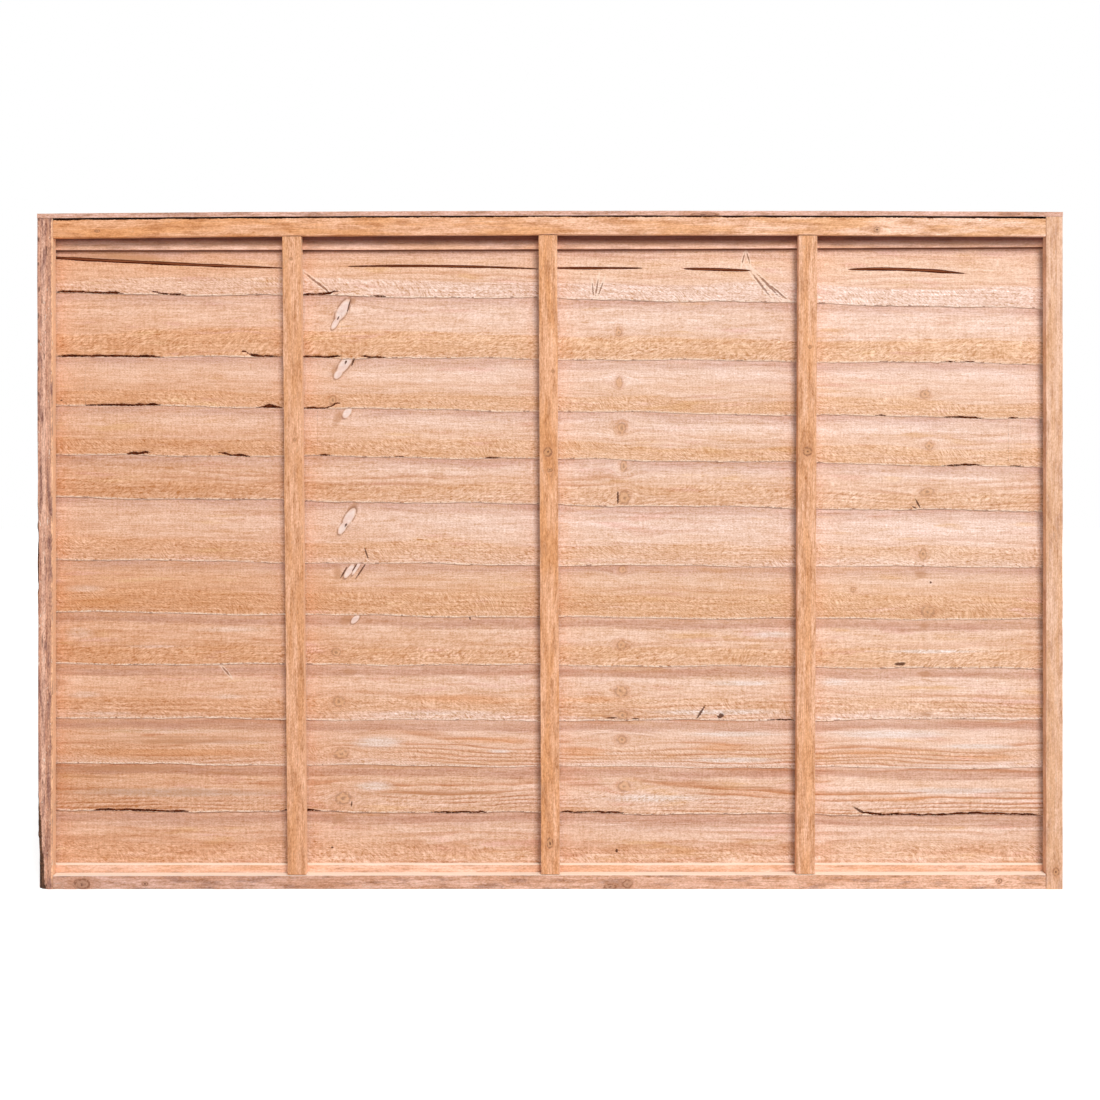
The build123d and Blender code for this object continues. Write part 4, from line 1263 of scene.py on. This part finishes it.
def build_nail_heads():
    """Heads for the frame's and the cap's CAD nails, and for one nail through each slat at each upright."""
    rear_face = CAD_HIGH[1] - NAIL_SINK
    nails = nail_groups("frame_nails",
                        lambda point: (round(point[0] / NAIL_GROUP), point[2] > PANEL_MIDDLE))
    frame_spots = [(nail[:, 0].mean(), rear_face, nail[:, 2].mean()) for nail in nails]
    slat_spots = []
    for x in sorted({round(spot[0], 4) for spot in frame_spots if spot[2] < PANEL_MIDDLE}):
        for columns, low, _ in outlines.values():
            slat_spots.append((x, rear_face, np.interp(x, columns, low) + SLAT_NAIL_LIFT))
    nail_heads("slat_nail_heads", [spot for spot in slat_spots if spot[2] > LEAST_SLAT_NAIL], False)
    nail_heads("frame_nail_heads", frame_spots, False)
    nails = nail_groups("cap_nails", lambda point: round(point[0] / NAIL_GROUP))
    nail_heads("cap_nail_heads", [(*nail[:, :2].mean(axis=0), nail[:, 2].max() + CAD_NAIL_LIFT)
                                  for nail in nails], True)


NAIL_STEEL = nail_material()
build_nail_heads()
for name in ("frame_nails", "cap_nails"):
    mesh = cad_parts[name].data
    for place in range(len(mesh.materials)):
        mesh.materials[place] = NAIL_STEEL


# Studio, with its floor, light and camera

scene = bpy.context.scene
scene.view_settings.view_transform = "Standard"

WHITE = (1, 1, 1)
FLOOR_HALF = 9.0
FLOOR_COLOUR = (0.8, 0.8, 0.8)
FLOOR_ROUGHNESS = 0.95
FLOOR_LIFT_NEAR, FLOOR_LIFT_FAR = 0.58, 1.0
FLOOR_NEAR, FLOOR_FAR = 0.9, 4.5
WORLD_LIGHT = 0.36
KEY_BEARING, KEY_RISE, KEY_REACH = math.radians(18), math.radians(40), 16.0
KEY_AIM = Vector((0.0, 0.0, 0.6))
KEY_SIZE = 4.5
KEY_WATTS = 1850
EYE_DISTANCE = 2.8
EYE_SHIFT = -0.12
SENSOR = 36.0


def build_floor():
    mesh = bpy.data.meshes.new("floor")
    corners = [(x * FLOOR_HALF, y * FLOOR_HALF, 0) for x, y in ((-1, -1), (1, -1), (1, 1), (-1, 1))]
    mesh.from_pydata(corners, [], [(0, 1, 2, 3)])
    floor = bpy.data.objects.new("floor", mesh)
    scene.collection.objects.link(floor)
    material, w = new_material("floor")
    shader = w.tree.nodes["Principled BSDF"]
    w.plug(shader, {"Base Color": FLOOR_COLOUR, "Roughness": FLOOR_ROUGHNESS, "Specular IOR Level": 0})
    lit = Value(w, shader.outputs[0])
    away = w.value("VectorMath", "Value", {0: w.value("TexCoord", "Object")},
                   operation="LENGTH")
    lift = away.between(FLOOR_NEAR, FLOOR_FAR, FLOOR_LIFT_NEAR, FLOOR_LIFT_FAR)
    glow = w.value("Emission", 0, {"Color": WHITE, "Strength": lift})
    lifted = w.value("AddShader", 0, {0: lit, 1: glow})
    mixed = w.value("MixShader", 0, {0: seen_by(w, "Camera", "Glossy"), 1: lit, 2: lifted})
    w.plug(w.tree.nodes["Material Output"], {"Surface": mixed})
    mesh.materials.append(material)
    floor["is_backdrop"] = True


def seen_by(w, *kinds):
    """1 for rays of these kinds, 0 for all others."""
    path = w.node("LightPath")
    seen = 0.0
    for kind in kinds:
        seen = w.math("MAXIMUM", seen, Value(w, path.outputs[f"Is {kind} Ray"]))
    return seen


def build_world():
    world = bpy.data.worlds.new("studio")
    scene.world = world
    world.use_nodes = True
    w = Wiring(world.node_tree)
    w.tree.nodes.clear()
    light, white = (w.value("Background", 0, {"Color": WHITE, "Strength": strength})
                    for strength in (WORLD_LIGHT, 1.0))
    seen = seen_by(w, "Camera", "Glossy", "Transmission")
    mixed = w.value("MixShader", 0, {0: seen, 1: light, 2: white})
    w.node("OutputWorld", {"Surface": mixed})


def build_lamp():
    lamp = bpy.data.lights.new("key", "AREA")
    lamp.shape = "SQUARE"
    lamp.size = KEY_SIZE
    lamp.energy = KEY_WATTS
    holder = bpy.data.objects.new("key", lamp)
    level = KEY_REACH * math.cos(KEY_RISE)
    away = Vector((level * math.sin(KEY_BEARING), -level * math.cos(KEY_BEARING),
                   KEY_REACH * math.sin(KEY_RISE)))
    holder.location = KEY_AIM + away
    holder.rotation_euler = (-away).to_track_quat("-Z", "Y").to_euler()
    scene.collection.objects.link(holder)


def build_camera():
    """The photograph's upright view: its frame on the panel's front plane, its eye above the middle."""
    frame_width = PHOTO_SIDE * FRONT_PIXEL
    frame_middle = (GROUND_ROW - PHOTO_SIDE / 2) * FRONT_PIXEL
    lens = bpy.data.cameras.new("camera")
    lens.sensor_width = SENSOR
    lens.lens = SENSOR * EYE_DISTANCE / frame_width
    lens.shift_y = EYE_SHIFT
    camera = bpy.data.objects.new("camera", lens)
    camera.location = (0.0, CAD_LOW[1] - EYE_DISTANCE, frame_middle - EYE_SHIFT * frame_width)
    camera.rotation_euler = (math.pi / 2, 0.0, 0.0)
    scene.collection.objects.link(camera)
    scene.camera = camera


build_floor()
build_world()
build_lamp()
build_camera()

bpy.context.view_layer.update()
